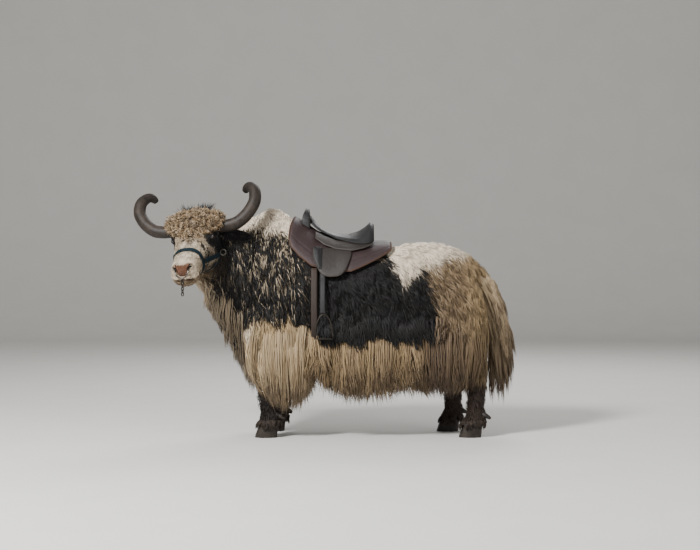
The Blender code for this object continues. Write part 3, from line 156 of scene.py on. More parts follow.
# Legs, down from inside the barrel: z, x, distance from the spine, half depth, half width
LEGS = {
    "front": (
        (0.860, -0.430, 0.165, 0.060, 0.060),
        (0.760, -0.430, 0.172, 0.150, 0.105),
        (0.660, -0.430, 0.180, 0.172, 0.122),
        (0.560, -0.430, 0.184, 0.168, 0.124),
        (0.480, -0.434, 0.180, 0.145, 0.112),
        (0.420, -0.446, 0.172, 0.104, 0.088),
        (0.370, -0.460, 0.166, 0.072, 0.064),
        (0.320, -0.470, 0.163, 0.062, 0.055),
        (0.255, -0.470, 0.160, 0.055, 0.047),
        (0.180, -0.464, 0.158, 0.052, 0.044),
        (0.125, -0.456, 0.158, 0.062, 0.051),
        (0.074, -0.474, 0.158, 0.060, 0.055),
    ),
    "hind": (
        (0.960, 0.570, 0.140, 0.070, 0.060),
        (0.860, 0.575, 0.155, 0.172, 0.110),
        (0.740, 0.582, 0.168, 0.200, 0.128),
        (0.640, 0.592, 0.172, 0.190, 0.130),
        (0.550, 0.614, 0.170, 0.160, 0.118),
        (0.480, 0.650, 0.166, 0.122, 0.098),
        (0.420, 0.694, 0.162, 0.088, 0.074),
        (0.360, 0.728, 0.158, 0.064, 0.056),
        (0.290, 0.732, 0.154, 0.052, 0.046),
        (0.190, 0.726, 0.150, 0.047, 0.043),
        (0.125, 0.734, 0.150, 0.060, 0.051),
        (0.074, 0.708, 0.150, 0.058, 0.055),
    ),
}
RIGHT_SHIFT = {"front": 0.030, "hind": -0.112}
SHIFT_TOP = 0.800
SHIFT_LOW = 0.350

# Tail core: x, z, half thickness, half width
DOCK = (
    (0.690, 1.000, 0.034, 0.034),
    (0.738, 0.986, 0.040, 0.040),
    (0.775, 0.935, 0.040, 0.050),
    (0.803, 0.855, 0.046, 0.062),
    (0.828, 0.765, 0.052, 0.070),
    (0.846, 0.675, 0.052, 0.066),
    (0.855, 0.590, 0.034, 0.040),
)

# Lower edges of the long hair: x, z
SKIRT_LOW = (
    (-0.230, 0.275), (-0.160, 0.265), (-0.097, 0.225), (0.006, 0.196), (0.170, 0.196), (0.286, 0.235),
    (0.400, 0.262)
)
BELL_LOW = {
    "front": (
        (-0.560, 0.270), (-0.515, 0.235), (-0.440, 0.180), (-0.360, 0.135), (-0.303, 0.160), (-0.240, 0.180),
    ),
    "hind": ((0.330, 0.290), (0.395, 0.240), (0.490, 0.222), (0.549, 0.235), (0.669, 0.270), (0.755, 0.235)),
}
BELLS = {"front": (-0.385, 0.175, 0.150, 0.130), "hind": (0.545, 0.172, 0.205, 0.128)}
# Hair under the neck and on the brisket: x of the root, x and z of the tip
BEARD = (
    (-0.826, -0.834, 0.745), (-0.788, -0.792, 0.680), (-0.752, -0.758, 0.612), (-0.720, -0.724, 0.550),
    (-0.694, -0.692, 0.490), (-0.670, -0.664, 0.432), (-0.650, -0.638, 0.370), (-0.625, -0.615, 0.305),
    (-0.600, -0.570, 0.250), (-0.570, -0.540, 0.225),
)
# Tail: height of the roots, then x, z and half width of the tips
TAIL_TIERS = (
    (0.965, 0.860, 0.800, 0.070), (0.930, 0.895, 0.730, 0.085), (0.890, 0.930, 0.640, 0.098),
    (0.840, 0.955, 0.550, 0.104),
    (0.790, 0.966, 0.460, 0.104), (0.740, 0.966, 0.370, 0.098), (0.690, 0.955, 0.285, 0.086),
    (0.630, 0.905, 0.165, 0.060),
)

HEADING = Vector((-math.sin(HEAD_TURN), -math.cos(HEAD_TURN), 0))
HEAD_LEFT = UP.cross(HEADING) * math.cos(HEAD_ROLL) + UP * math.sin(HEAD_ROLL)
HEAD_TOP = HEADING.cross(HEAD_LEFT)
FACE = HEADING * math.cos(HEAD_PITCH) - HEAD_TOP * math.sin(HEAD_PITCH)
BROW = HEADING * math.sin(HEAD_PITCH) + HEAD_TOP * math.cos(HEAD_PITCH)


def srgb(code):
    """Linear colour from the six digits of an sRGB one."""
    parts = [int(code[place:place + 2], 16) / 255 for place in (0, 2, 4)]
    return tuple(part / 12.92 if part <= 0.04045 else ((part + 0.055) / 1.055) ** 2.4 for part in parts)


# Sizes and colours that a user would change

def colour_setting(name, description, code):
    return bpy.props.FloatVectorProperty(
        name=name, description=description, subtype="COLOR", size=3, min=0, max=1, default=srgb(code)
    )


def length_setting(name, description, default, low=0.0, high=1.0):
    return bpy.props.FloatProperty(
        name=name, description=description, unit="LENGTH", default=default, min=low, max=high
    )


def count_setting(name, description, default):
    return bpy.props.IntProperty(name=name, description=description, default=default, min=1, max=100000)


class YakColours(bpy.types.PropertyGroup):
    black: colour_setting("Black hair", "Flank, neck, ears and round the eyes", "0d0b0a")
    cream: colour_setting("Cream hair", "Hump, back and face", "dfd1bc")
    gold: colour_setting("Golden hair", "Chest, bells of hair and skirt", "a38b66")
    tan: colour_setting("Tan hair", "Rump, thighs and skirt", "76634f")
    brown: colour_setting("Brown hair", "Tips of the long hair, tail and lower legs", "3a2b20")
    curl: colour_setting("Forelock", "Curls between the horns", "a48761")
    nose: colour_setting("Nose", "Bare skin round the nostrils", "6e4a36")
    horn: colour_setting("Horn", "Keratin of the horns", "2e2620")
    hoof: colour_setting("Hoof", "Keratin of the hooves", "2f2822")


class YakCoat(bpy.types.PropertyGroup):
    voxel: length_setting("Skin voxel", "Size of the voxels that fuse the skin", 0.0118, 0.005, 0.03)
    body_tufts: count_setting("Body tufts", "Tufts on neck, barrel, rump and thighs", 50000)
    face_tufts: count_setting("Face tufts", "Tufts on head and ears", 11000)
    feet_tufts: count_setting("Feet tufts", "Tufts on the four shanks", 6500)
    lock_strands: count_setting("Strands in a lock", "Strands that make one lock of long hair", 26)
    skirt_locks: count_setting("Skirt locks", "Locks down each side of the belly", 120)
    bell_locks: count_setting("Bell locks", "Locks round each leg", 100)
    thigh_locks: count_setting("Thigh locks", "Locks behind each thigh, beside the tail", 55)
    tail_locks: count_setting("Tail locks", "Locks of the tail", 150)
    beard_locks: count_setting("Beard locks", "Locks under the neck and on the brisket", 130)
    curls: count_setting("Curls", "Ringlets of the forelock", 1900)


class YakStudio(bpy.types.PropertyGroup):
    key: bpy.props.FloatProperty(
        name="Key light", description="Large soft light above the left shoulder", default=860, min=0,
        unit="POWER"
    )
    fill: bpy.props.FloatProperty(
        name="Fill light", description="Soft light from the front", default=120, min=0, unit="POWER"
    )
    rim: bpy.props.FloatProperty(
        name="Rim light", description="Soft light from behind and above", default=230, min=0, unit="POWER"
    )
    distance: length_setting("Camera distance", "From the middle of the animal", 9.0, 2.0, 20.0)
    height: length_setting("Camera height", "Above the floor", 1.1, 0.2, 5.0)
    lens: bpy.props.FloatProperty(
        name="Lens", description="Focal length in millimetres", default=78.7, min=10, max=300
    )


# Arrays of numbers

def rows(table):
    return np.array(sorted(table), float)


def column(table, at, place):
    """One column of a table at many values of its first column."""
    table = rows(table)
    return np.interp(at, table[:, 0], table[:, place])


def ramp(value, low, high):
    """Nought at low, one at high, smooth between."""
    share = np.clip((value - low) / (high - low), 0, 1)
    return share * share * (3 - 2 * share)


def unit(vectors):
    return vectors / np.maximum(np.linalg.norm(vectors, axis=-1, keepdims=True), 1e-9)


def ripple(points, size, seed, waves=14):
    """Smooth random field of about that size, near one in strength, from a few seeded waves."""
    draws = np.random.default_rng(seed)
    ways = unit(draws.normal(size=(waves, 3))) * (2 * math.pi / size) * draws.uniform(0.6, 1.5, (waves, 1))
    phases = draws.uniform(0, 2 * math.pi, waves)
    return np.cos(points @ ways.T + phases).sum(axis=1) / math.sqrt(waves / 2)


def in_face(points):
    """Distance along the face, out to the animal's left and up from the line of the face."""
    from_poll = points - np.array(POLL)
    return from_poll @ np.array(FACE), from_poll @ np.array(HEAD_LEFT), from_poll @ np.array(BROW)


def on_face(along, out, up):
    return POLL + FACE * along + HEAD_LEFT * out + BROW * up


def by_poll(side, out, forward, up):
    """A point in the level frame of the head, as horns and ears use."""
    return POLL - HEAD_LEFT * side * out + HEADING * forward + HEAD_TOP * up


def leg_shift(pair, z, right):
    """How far forward or back the right leg of a pair stands at a height."""
    share = np.clip((SHIFT_TOP - z) / (SHIFT_TOP - SHIFT_LOW), 0, 1)
    return RIGHT_SHIFT[pair] * share * right


def smooth_path(points, steps):
    """More rows of numbers on a smooth curve through the given ones."""
    given = [np.array(row, float) for row in points]
    given = [2 * given[0] - given[1]] + given + [2 * given[-1] - given[-2]]
    made = []
    for place in range(1, len(given) - 2):
        before, start, end, after = given[place - 1:place + 3]
        for step in range(steps):
            t = step / steps
            bend = (
                (2 * before - 5 * start + 4 * end - after) * t * t
                + (3 * start - before - 3 * end + after) * t ** 3
            )
            made.append(0.5 * (2 * start + (end - before) * t + bend))
    made.append(given[-2])
    return made


# Meshes and objects

def new_piece(name, shape, material=None, smooth=True):
    """An object from a bmesh in the stance frame, carried to the frame of the part."""
    mesh = bpy.data.meshes.new(name)
    bmesh.ops.translate(shape, vec=Vector(STANCE), verts=shape.verts)
    shape.to_mesh(mesh)
    shape.free()
    made = bpy.data.objects.new(name, mesh)
    bpy.context.scene.collection.objects.link(made)
    if material:
        mesh.materials.append(material)
    if smooth:
        mesh.shade_smooth()
    return made


def apply_modifiers(piece):
    graph = bpy.context.evaluated_depsgraph_get()
    mesh = bpy.data.meshes.new_from_object(piece.evaluated_get(graph))
    piece.modifiers.clear()
    old = piece.data
    piece.data = mesh
    bpy.data.meshes.remove(old)
    return piece


def fuse(piece, size):
    """Turns overlapping forms into one closed surface of voxels of that size."""
    remesh = piece.modifiers.new("fuse", "REMESH")
    remesh.mode = "VOXEL"
    remesh.voxel_size = size
    return apply_modifiers(piece)


def relax(shape, verts):
    bmesh.ops.smooth_vert(shape, verts=verts, factor=0.5, use_axis_x=True, use_axis_y=True, use_axis_z=True)


def finish_piece(piece, nodes=()):
    """Lets the piece ride on the animal and the solids that it stands for."""
    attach(piece, "root")
    if nodes:
        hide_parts(*nodes)
    return piece


def spread_sheet(shape, place, columns, rows_up, wrap=False):
    """A grid whose corners are put in place by place(u, v), closed along u and at its ends where it wraps."""
    made = bmesh.ops.create_grid(shape, x_segments=columns, y_segments=rows_up, size=0.5)
    for vert in made["verts"]:
        vert.co = place(vert.co.x + 0.5, vert.co.y + 0.5)
    if wrap:
        bmesh.ops.remove_doubles(shape, verts=made["verts"], dist=1e-6)
        ends = [edge for edge in shape.edges if edge.is_boundary]
        bmesh.ops.holes_fill(shape, edges=ends, sides=0)
        bmesh.ops.recalc_face_normals(shape, faces=shape.faces)
    return shape


def ring_point(angle, centre, side, up, half, rise, drop, power=2.0, low_power=2.0):
    """A point of a superellipse with its own rise over and drop under the centre."""
    across = math.cos(angle)
    along = math.sin(angle)
    bend = power if along >= 0 else low_power
    height = rise if along >= 0 else drop
    wide = math.copysign(abs(across) ** (2 / bend), across)
    high = math.copysign(abs(along) ** (2 / bend), along)
    return centre + side * half * wide + up * height * high


def row_at(table, value):
    """A table's row at any value of its first column."""
    table = rows(table)
    return [float(np.interp(value, table[:, 0], table[:, place])) for place in range(table.shape[1])]


def closed_piece(name, shape, material, nodes=()):
    """A finished piece from a closed form, its faces pointing outwards."""
    bmesh.ops.recalc_face_normals(shape, faces=shape.faces)
    return finish_piece(new_piece(name, shape, material), nodes)


# Materials

def add_node(tree, kind, settings=None, inputs=None):
    """Adds a node, with its settings, and links or values for its sockets by name or number."""
    made = tree.nodes.new(kind)
    for name, value in (settings or {}).items():
        setattr(made, name, value)
    for name, value in (inputs or {}).items():
        if isinstance(value, bpy.types.NodeSocket):
            tree.links.new(value, made.inputs[name])
        else:
            made.inputs[name].default_value = value
    return made


def new_material(name, **sockets):
    """A material with values on its shader's own sockets."""
    made = bpy.data.materials.new(name)
    made.use_nodes = True
    shader = made.node_tree.nodes["Principled BSDF"]
    for socket, value in sockets.items():
        shader.inputs[socket.replace("_", " ").title().replace("Ior", "IOR")].default_value = value
    return made, made.node_tree, shader


def solid(colour):
    return (*colour, 1.0)


def mixed(tree, share, first, second, blend="MIX"):
    """A mix of two colours, each a socket or a colour."""
    made = add_node(
        tree, "ShaderNodeMix", {"data_type": "RGBA", "blend_type": blend}, {0: share, 6: first, 7: second}
    )
    return made.outputs[2]


def noise(tree, where, scale, detail=2.0, rough=0.5):
    made = add_node(
        tree, "ShaderNodeTexNoise", {},
        {"Vector": where, "Scale": scale, "Detail": detail, "Roughness": rough}
    )
    return made.outputs["Fac"]


def stretched(tree, where, scale):
    return add_node(tree, "ShaderNodeMapping", {}, {"Vector": where, "Scale": scale}).outputs["Vector"]


def maths(tree, operation, first, second=0.0, clamp=False):
    made = add_node(
        tree, "ShaderNodeMath", {"operation": operation, "use_clamp": clamp}, {0: first, 1: second}
    )
    return made.outputs[0]


def bumped(tree, shader, height, distance, strength=1.0):
    bump = add_node(
        tree, "ShaderNodeBump", {}, {"Height": height, "Distance": distance, "Strength": strength}
    )
    tree.links.new(bump.outputs["Normal"], shader.inputs["Normal"])


def channels(tree, name):
    """The three channels of a colour that each vertex carries."""
    carried = add_node(tree, "ShaderNodeAttribute", {"attribute_name": name})
    return add_node(tree, "ShaderNodeSeparateColor", {}, {"Color": carried.outputs["Color"]}).outputs


def coat_colour(tree, scene, tips):
    """Colour of hair from the markings that each strand carries, its tone and how brown its tip is."""
    colours = scene.yak_colours
    draw, along, brown = channels(tree, "strand")
    black, cream, gold = channels(tree, "mark")
    base = mixed(tree, gold, solid(colours.tan), solid(colours.gold))
    base = mixed(tree, brown, base, solid(colours.brown))
    base = mixed(tree, cream, base, solid(colours.cream))
    tip = maths(tree, "MULTIPLY", maths(tree, "POWER", along, 1.2), tips)
    base = mixed(tree, tip, base, solid(colours.brown))
    base = mixed(tree, black, base, solid(colours.black))
    value = maths(tree, "ADD", maths(tree, "MULTIPLY", draw, 0.30), 0.85)
    return add_node(tree, "ShaderNodeHueSaturation", {}, {"Value": value, "Color": base}).outputs["Color"]


def hair_material(scene, tips=0.0):
    """Yak hair: guard hairs with a soft gloss, each a little lighter or darker, brown at long tips."""
    name = "long_yak_hair" if tips else "short_yak_hair"
    if name in bpy.data.materials:
        return bpy.data.materials[name]
    made, tree, shader = new_material(name, roughness=0.55, specular_ior_level=0.28, sheen_weight=0.04)
    tree.links.new(coat_colour(tree, scene, tips), shader.inputs["Base Color"])
    return made


def skin_material(scene):
    """Hide under the coat: the coat's markings on short dense underwool, darkened by its noise as painted shade
    between the tufts, with bare damp skin on the nose.
    """
    made, tree, shader = new_material("hide_with_underwool", roughness=0.8, specular_ior_level=0.25)
    where = add_node(tree, "ShaderNodeTexCoord").outputs["Object"]
    wool = noise(tree, stretched(tree, where, (1.0, 1.0, 0.45)), 210.0, 3.0, 0.6)
    colour = coat_colour(tree, scene, 0.0)
    # Painted shade: the underwool noise darkens the coat's colour on the hide to between a half and about the whole
    # of it, for the shade between the tufts; the same noise gives the hide its bump.
    shade = add_node(tree, "ShaderNodeHueSaturation", {}, {
        "Value": maths(tree, "ADD", maths(tree, "MULTIPLY", wool, 0.55), 0.50), "Color": colour,
    }).outputs["Color"]
    nose, lip_and_mouth_shade, nostril_shade_lid_skin = channels(tree, "bare")
    mottle = noise(tree, where, 60.0, 3.0)
    pores = add_node(
        tree, "ShaderNodeTexVoronoi", {"feature": "DISTANCE_TO_EDGE"}, {"Vector": where, "Scale": 420.0}
    )
    pink = mixed(
        tree, mottle, solid(scene.yak_colours.nose), solid([part * 0.35 for part in scene.yak_colours.nose])
    )
    shade = mixed(tree, nose, shade, pink)
    # Dark brown along the mouth: the lips' own dark skin and painted shade in the groove between them.
    shade = mixed(tree, lip_and_mouth_shade, shade, solid(srgb("3b2a20")))
    # Near black from the third channel of bare: painted shade inside the nostrils, and the dark skin of the lids.
    shade = mixed(tree, nostril_shade_lid_skin, shade, solid(srgb("120d0b")))
    tree.links.new(shade, shader.inputs["Base Color"])
    rough = add_node(tree, "ShaderNodeMapRange", {}, {"Value": nose, "To Min": 0.85, "To Max": 0.36})
    tree.links.new(rough.outputs["Result"], shader.inputs["Roughness"])
    relief = maths(tree, "ADD", wool, maths(tree, "MULTIPLY", pores.outputs["Distance"], nose))
    bumped(tree, shader, relief, 0.004)
    return made


def curl_material(scene):
    """Curly wool of the forelock: tan ringlets, brown towards their roots and black in the hollows of the wool as
    painted shade, and a dull gloss.
    """
    made, tree, shader = new_material("curly_forelock_wool", roughness=0.6, specular_ior_level=0.3)
    draw, along, dark = channels(tree, "strand")
    colours = scene.yak_colours
    tint = mixed(tree, maths(tree, "MULTIPLY", draw, 0.42), solid(colours.curl), solid(colours.cream))
    # Painted shade: brown towards the root of each ringlet, deep in the wool.
    depth = maths(tree, "MULTIPLY", maths(tree, "SUBTRACT", 1.0, along), 0.75, True)
    tint = mixed(tree, depth, tint, solid(colours.brown))
    # Black from the strand's third channel: painted shade in the hollows of the wool, and a few curls that are dark
    # of their own.
    tint = mixed(tree, dark, tint, solid(colours.black))
    tree.links.new(tint, shader.inputs["Base Color"])
    return made


def horn_material(name, colour, lines):
    """Keratin: dull grey-brown, mottled, with fine growth lines across, pale patches where the tone attribute asks
    for them, a darker end and a low worn gloss. On the horns the pale patches on the upper side are painted light.
    """
    made, tree, shader = new_material(name, roughness=0.5, specular_ior_level=0.30)
    uv = add_node(tree, "ShaderNodeUVMap", {"uv_map": "Growth"}).outputs["UV"]
    where = add_node(tree, "ShaderNodeTexCoord").outputs["Object"]
    rings = noise(tree, stretched(tree, uv, (3.0, lines, 1.0)), 1.0, 3.0, 0.6)
    patches = noise(tree, where, 24.0, 5.0, 0.65)
    scratches = noise(tree, stretched(tree, uv, (90.0, 3.0, 1.0)), 1.0, 2.0)
    patchy = add_node(
        tree, "ShaderNodeMapRange", {}, {"Value": patches, "From Min": 0.38, "From Max": 0.62}
    ).outputs["Result"]
    tint = mixed(
        tree, patchy, solid([part * 0.42 for part in colour]), solid([part * 1.25 for part in colour])
    )
    tint = mixed(tree, maths(tree, "MULTIPLY", rings, 0.30), tint, solid([part * 0.6 for part in colour]))
    # Pale patches from the tone attribute's second channel: on the horns, painted light on their upper side and the
    # base's own paler tone; on the hooves, paler towards the top of the claw.
    end, light = channels(tree, "tone")[:2]
    pale_patches_and_painted_light = maths(tree, "MULTIPLY", light, patchy)
    tint = mixed(
        tree, maths(tree, "MULTIPLY", pale_patches_and_painted_light, 0.45), tint, solid([min(1.0, part * 2.0) for part in colour])
    )
    tint = mixed(tree, maths(tree, "MULTIPLY", end, 0.8), tint, solid([part * 0.35 for part in colour]))
    tree.links.new(tint, shader.inputs["Base Color"])
    rough = add_node(tree, "ShaderNodeMapRange", {}, {"Value": patches, "To Min": 0.42, "To Max": 0.72})
    tree.links.new(rough.outputs["Result"], shader.inputs["Roughness"])
    relief = maths(tree, "ADD", maths(tree, "ADD", rings, patches), maths(tree, "MULTIPLY", scratches, 0.35))
    bumped(tree, shader, relief, 0.0010)
    return made


def ear_point(side, out, forward, up):
    """A point of an ear, after the ear is laid back round its root."""
    root = EAR[0][0]
    back = EAR_BACK[side]
    reach = out - root
    return by_poll(side, root + reach * math.cos(back), forward - reach * math.sin(back), up)


# Surfaces of the animal in the stance frame

BODY_DEPTH = 0.014
NECK_DEPTH = 0.015
HEAD_DEPTH = 0.004
LEG_DEPTH = 0.006
TAIL_DEPTH = 0.006
SIDEWAYS = Vector((0, 1, 0))
BACKWARD = Vector((1, 0, 0))
EAR_THICKNESS = 0.008
EAR_CUP = 0.018


def barrel_middle(x):
    x, half, top, bottom, power = row_at(TORSO, x)
    return half, top, bottom, power, bottom + (top - bottom) * WIDEST


def barrel_point(x, angle, lift=0.0):
    """A point over the barrel; the angle is zero on the spine and grows down the side given by its sign."""
    half, top, bottom, power, middle = barrel_middle(x)
    across = math.sin(angle)
    along = math.cos(angle)
    bend = power if along >= 0 else BELLY_POWER
    height = top - middle if along >= 0 else middle - bottom
    y = (half + lift) * math.copysign(abs(across) ** (2 / bend), across)
    z = middle + (height + lift) * math.copysign(abs(along) ** (2 / bend), along)
    return Vector((x, y, z))


def barrel_angle(x, z):
    """The angle at which the barrel's side is at a given height."""
    top, bottom, power, middle = barrel_middle(x)[1:]
    if z >= middle:
        return math.acos(min(1.0, (z - middle) / (top - middle)) ** (power / 2))
    return math.acos(-(min(1.0, (middle - z) / (middle - bottom)) ** (BELLY_POWER / 2)))


def head_point(along, angle, lift=0.0):
    """A point over the head; the angle is zero at the animal's left and a quarter turn on top."""
    along, half, rise, drop = row_at(HEAD, along)
    depth = (rise + drop) / 2 + lift
    centre = on_face(along, 0, (rise - drop) / 2)
    return ring_point(angle, centre, HEAD_LEFT, BROW, half + lift, depth, depth, 2.5, 2.3)


def head_normal(along, angle):
    step = 0.002
    back = head_point(along + step, angle) - head_point(along - step, angle)
    turned = head_point(along, angle + step) - head_point(along, angle - step)
    out = back.cross(turned).normalized()
    return out if out.dot(head_point(along, angle) - on_face(along, 0, -0.10)) > 0 else -out


def form(shape, table, ring, sides, steps):
    """A closed form through a table's rows; ring(row, line, angle) gives a point of its outline."""
    path = smooth_path(table, steps)
    last = len(path) - 1

    def place(u, v):
        spot = round(v * last)
        line = Vector((path[min(spot + 1, last)] - path[max(spot - 1, 0)])[:3])
        return ring(path[spot], line, u * 2 * math.pi)
    return spread_sheet(shape, place, sides, last, wrap=True)


def barrel_ring(row, line, angle):
    x, half, top, bottom, power = row
    middle = bottom + (top - bottom) * WIDEST
    rise = top - middle - BODY_DEPTH
    drop = middle - bottom - BODY_DEPTH
    return ring_point(
        angle, Vector((x, 0, middle)), SIDEWAYS, UP, half - BODY_DEPTH, rise, drop, power, BELLY_POWER
    )


def neck_ring(row, line, angle):
    x, y, z, half, rise, drop = row
    side = UP.cross(Vector((line.x, line.y, 0)).normalized())
    half, rise, drop = half - NECK_DEPTH, rise - NECK_DEPTH, drop - NECK_DEPTH
    return ring_point(angle, Vector((x, y, z)), side, UP, half, rise, drop, 1.9, 2.2)


def head_ring(row, line, angle):
    along, half, rise, drop = row
    depth = (rise + drop) / 2 - HEAD_DEPTH
    centre = on_face(along, 0, (rise - drop) / 2)
    return ring_point(angle, centre, HEAD_LEFT, BROW, half - HEAD_DEPTH, depth, depth, 2.5, 2.3)


def dock_ring(row, line, angle):
    x, z, thick, half = row
    thick, half = thick - TAIL_DEPTH, half - TAIL_DEPTH
    return ring_point(angle, Vector((x, 0, z)), SIDEWAYS, BACKWARD, half, thick, thick)


def leg_ring(pair, side):
    def ring(row, line, angle):
        z, x, out, depth, half = row
        shift = float(leg_shift(pair, z, max(side, 0)))
        centre = Vector((x + shift, side * out, z))
        depth, half = depth - LEG_DEPTH, half - LEG_DEPTH
        return ring_point(angle, centre, BACKWARD, SIDEWAYS * side, depth, half, half, 2.2, 2.2)
    return ring


def ear_ring(side):
    """Outline of the leaf of an ear, its outer face first and then its hollow one."""
    back = EAR_BACK[side]
    facing = HEADING * math.cos(back) - HEAD_LEFT * side * math.sin(back)

    def ring(row, line, angle):
        out, forward, up, half = row
        along = by_poll(side, line.x * math.cos(back), line.y - line.x * math.sin(back), line.z) - POLL
        along.normalize()
        front = (facing * 0.9 - UP * 0.45).normalized()
        front = (front - along * front.dot(along)).normalized()
        rise = along.cross(front)
        turn = angle if angle <= math.pi else 2 * math.pi - angle
        thick = EAR_THICKNESS * (0.35 + 0.65 * half / EAR_WIDEST)
        cup = EAR_CUP * half / EAR_WIDEST * math.sin(turn)
        depth = cup + thick * 0.5 if angle <= math.pi else cup * 0.75 - thick * 0.3
        return ear_point(side, out, forward, up) + rise * half * math.cos(turn) - front * depth
    return ring


def eye_frame(side):
    """Middle of the eyeball, the way it looks, and the ways along and across the lids."""
    along, out, up = EYE
    look = (-side * HEAD_LEFT * 0.88 + FACE * 0.42 + BROW * 0.22).normalized()
    long = (FACE - look * FACE.dot(look)).normalized()
    return on_face(along, -side * out, up), look, long, look.cross(long)


# Lids: half length, half height and how thick they are over the ball
LID_LONG = 0.0178
LID_HIGH = 0.0112
LID_THICK = 0.0042


def lid_line(side, angle, lift):
    """A point on the edge of the lids: an almond with its inner corner towards the nose."""
    centre, look, long, high = eye_frame(side)
    across = math.cos(angle)
    up = math.sin(angle) * (1 - 0.30 * abs(across) ** 2)
    a = LID_LONG * across
    b = LID_HIGH * up - 0.0015 * across
    ball = math.sqrt(max(EYE_RADIUS ** 2 - a * a - b * b, 0.0))
    return centre + look * (ball + lift) + long * a + high * b


def add_lids(shape, side):
    """Both lids as one rolled rim that the ball shows through."""
    turns = 40

    def place(u, v):
        angle = u * 2 * math.pi
        here = lid_line(side, angle, LID_THICK * 0.35)
        ahead = (lid_line(side, angle + 0.05, 0) - lid_line(side, angle - 0.05, 0)).normalized()
        centre, look = eye_frame(side)[:2]
        out = ahead.cross(look).normalized()
        if out.dot(here - centre) < 0:
            out = -out
        thick = LID_THICK * (1.15 if math.sin(angle) > 0 else 0.85)
        roll = 2 * math.pi * v
        return here + out * thick * (0.55 + 0.9 * math.cos(roll)) + look * thick * 0.62 * math.sin(roll)
    made = bmesh.ops.create_grid(shape, x_segments=turns, y_segments=10, size=0.5)
    for vert in made["verts"]:
        vert.co = place(vert.co.x + 0.5, vert.co.y + 0.5)
    bmesh.ops.remove_doubles(shape, verts=made["verts"], dist=1e-5)


def add_forms(shape):
    form(shape, TORSO, barrel_ring, 72, 3)
    form(shape, NECK, neck_ring, 48, 4)
    form(shape, HEAD, head_ring, 48, 2)
    form(shape, DOCK, dock_ring, 20, 3)
    for pair in LEGS:
        for side in SIDES.values():
            form(shape, LEGS[pair], leg_ring(pair, side), 28, 3)
    bmesh.ops.recalc_face_normals(shape, faces=shape.faces)


def line_distance(points, line):
    """Distance of each point to a broken line."""
    best = np.full(len(points), 1.0)
    for start, end in zip(np.array(line[:-1]), np.array(line[1:])):
        way = end - start
        share = np.clip((points - start) @ way / (way @ way), 0, 1)
        best = np.minimum(best, np.linalg.norm(points - start - share[:, None] * way, axis=1))
    return best


def hill(value, middle, width):
    return np.exp(-((value - middle) / width) ** 2)


def head_share(points):
    """One on the head and nought behind it."""
    along, out, up = in_face(points)
    inside = ramp(along, -0.05, 0.0) * ramp(up, -0.31, -0.28) * (1 - ramp(np.abs(out), 0.15, 0.17))
    return inside * ramp(-points[:, 1], 0.115, 0.145)


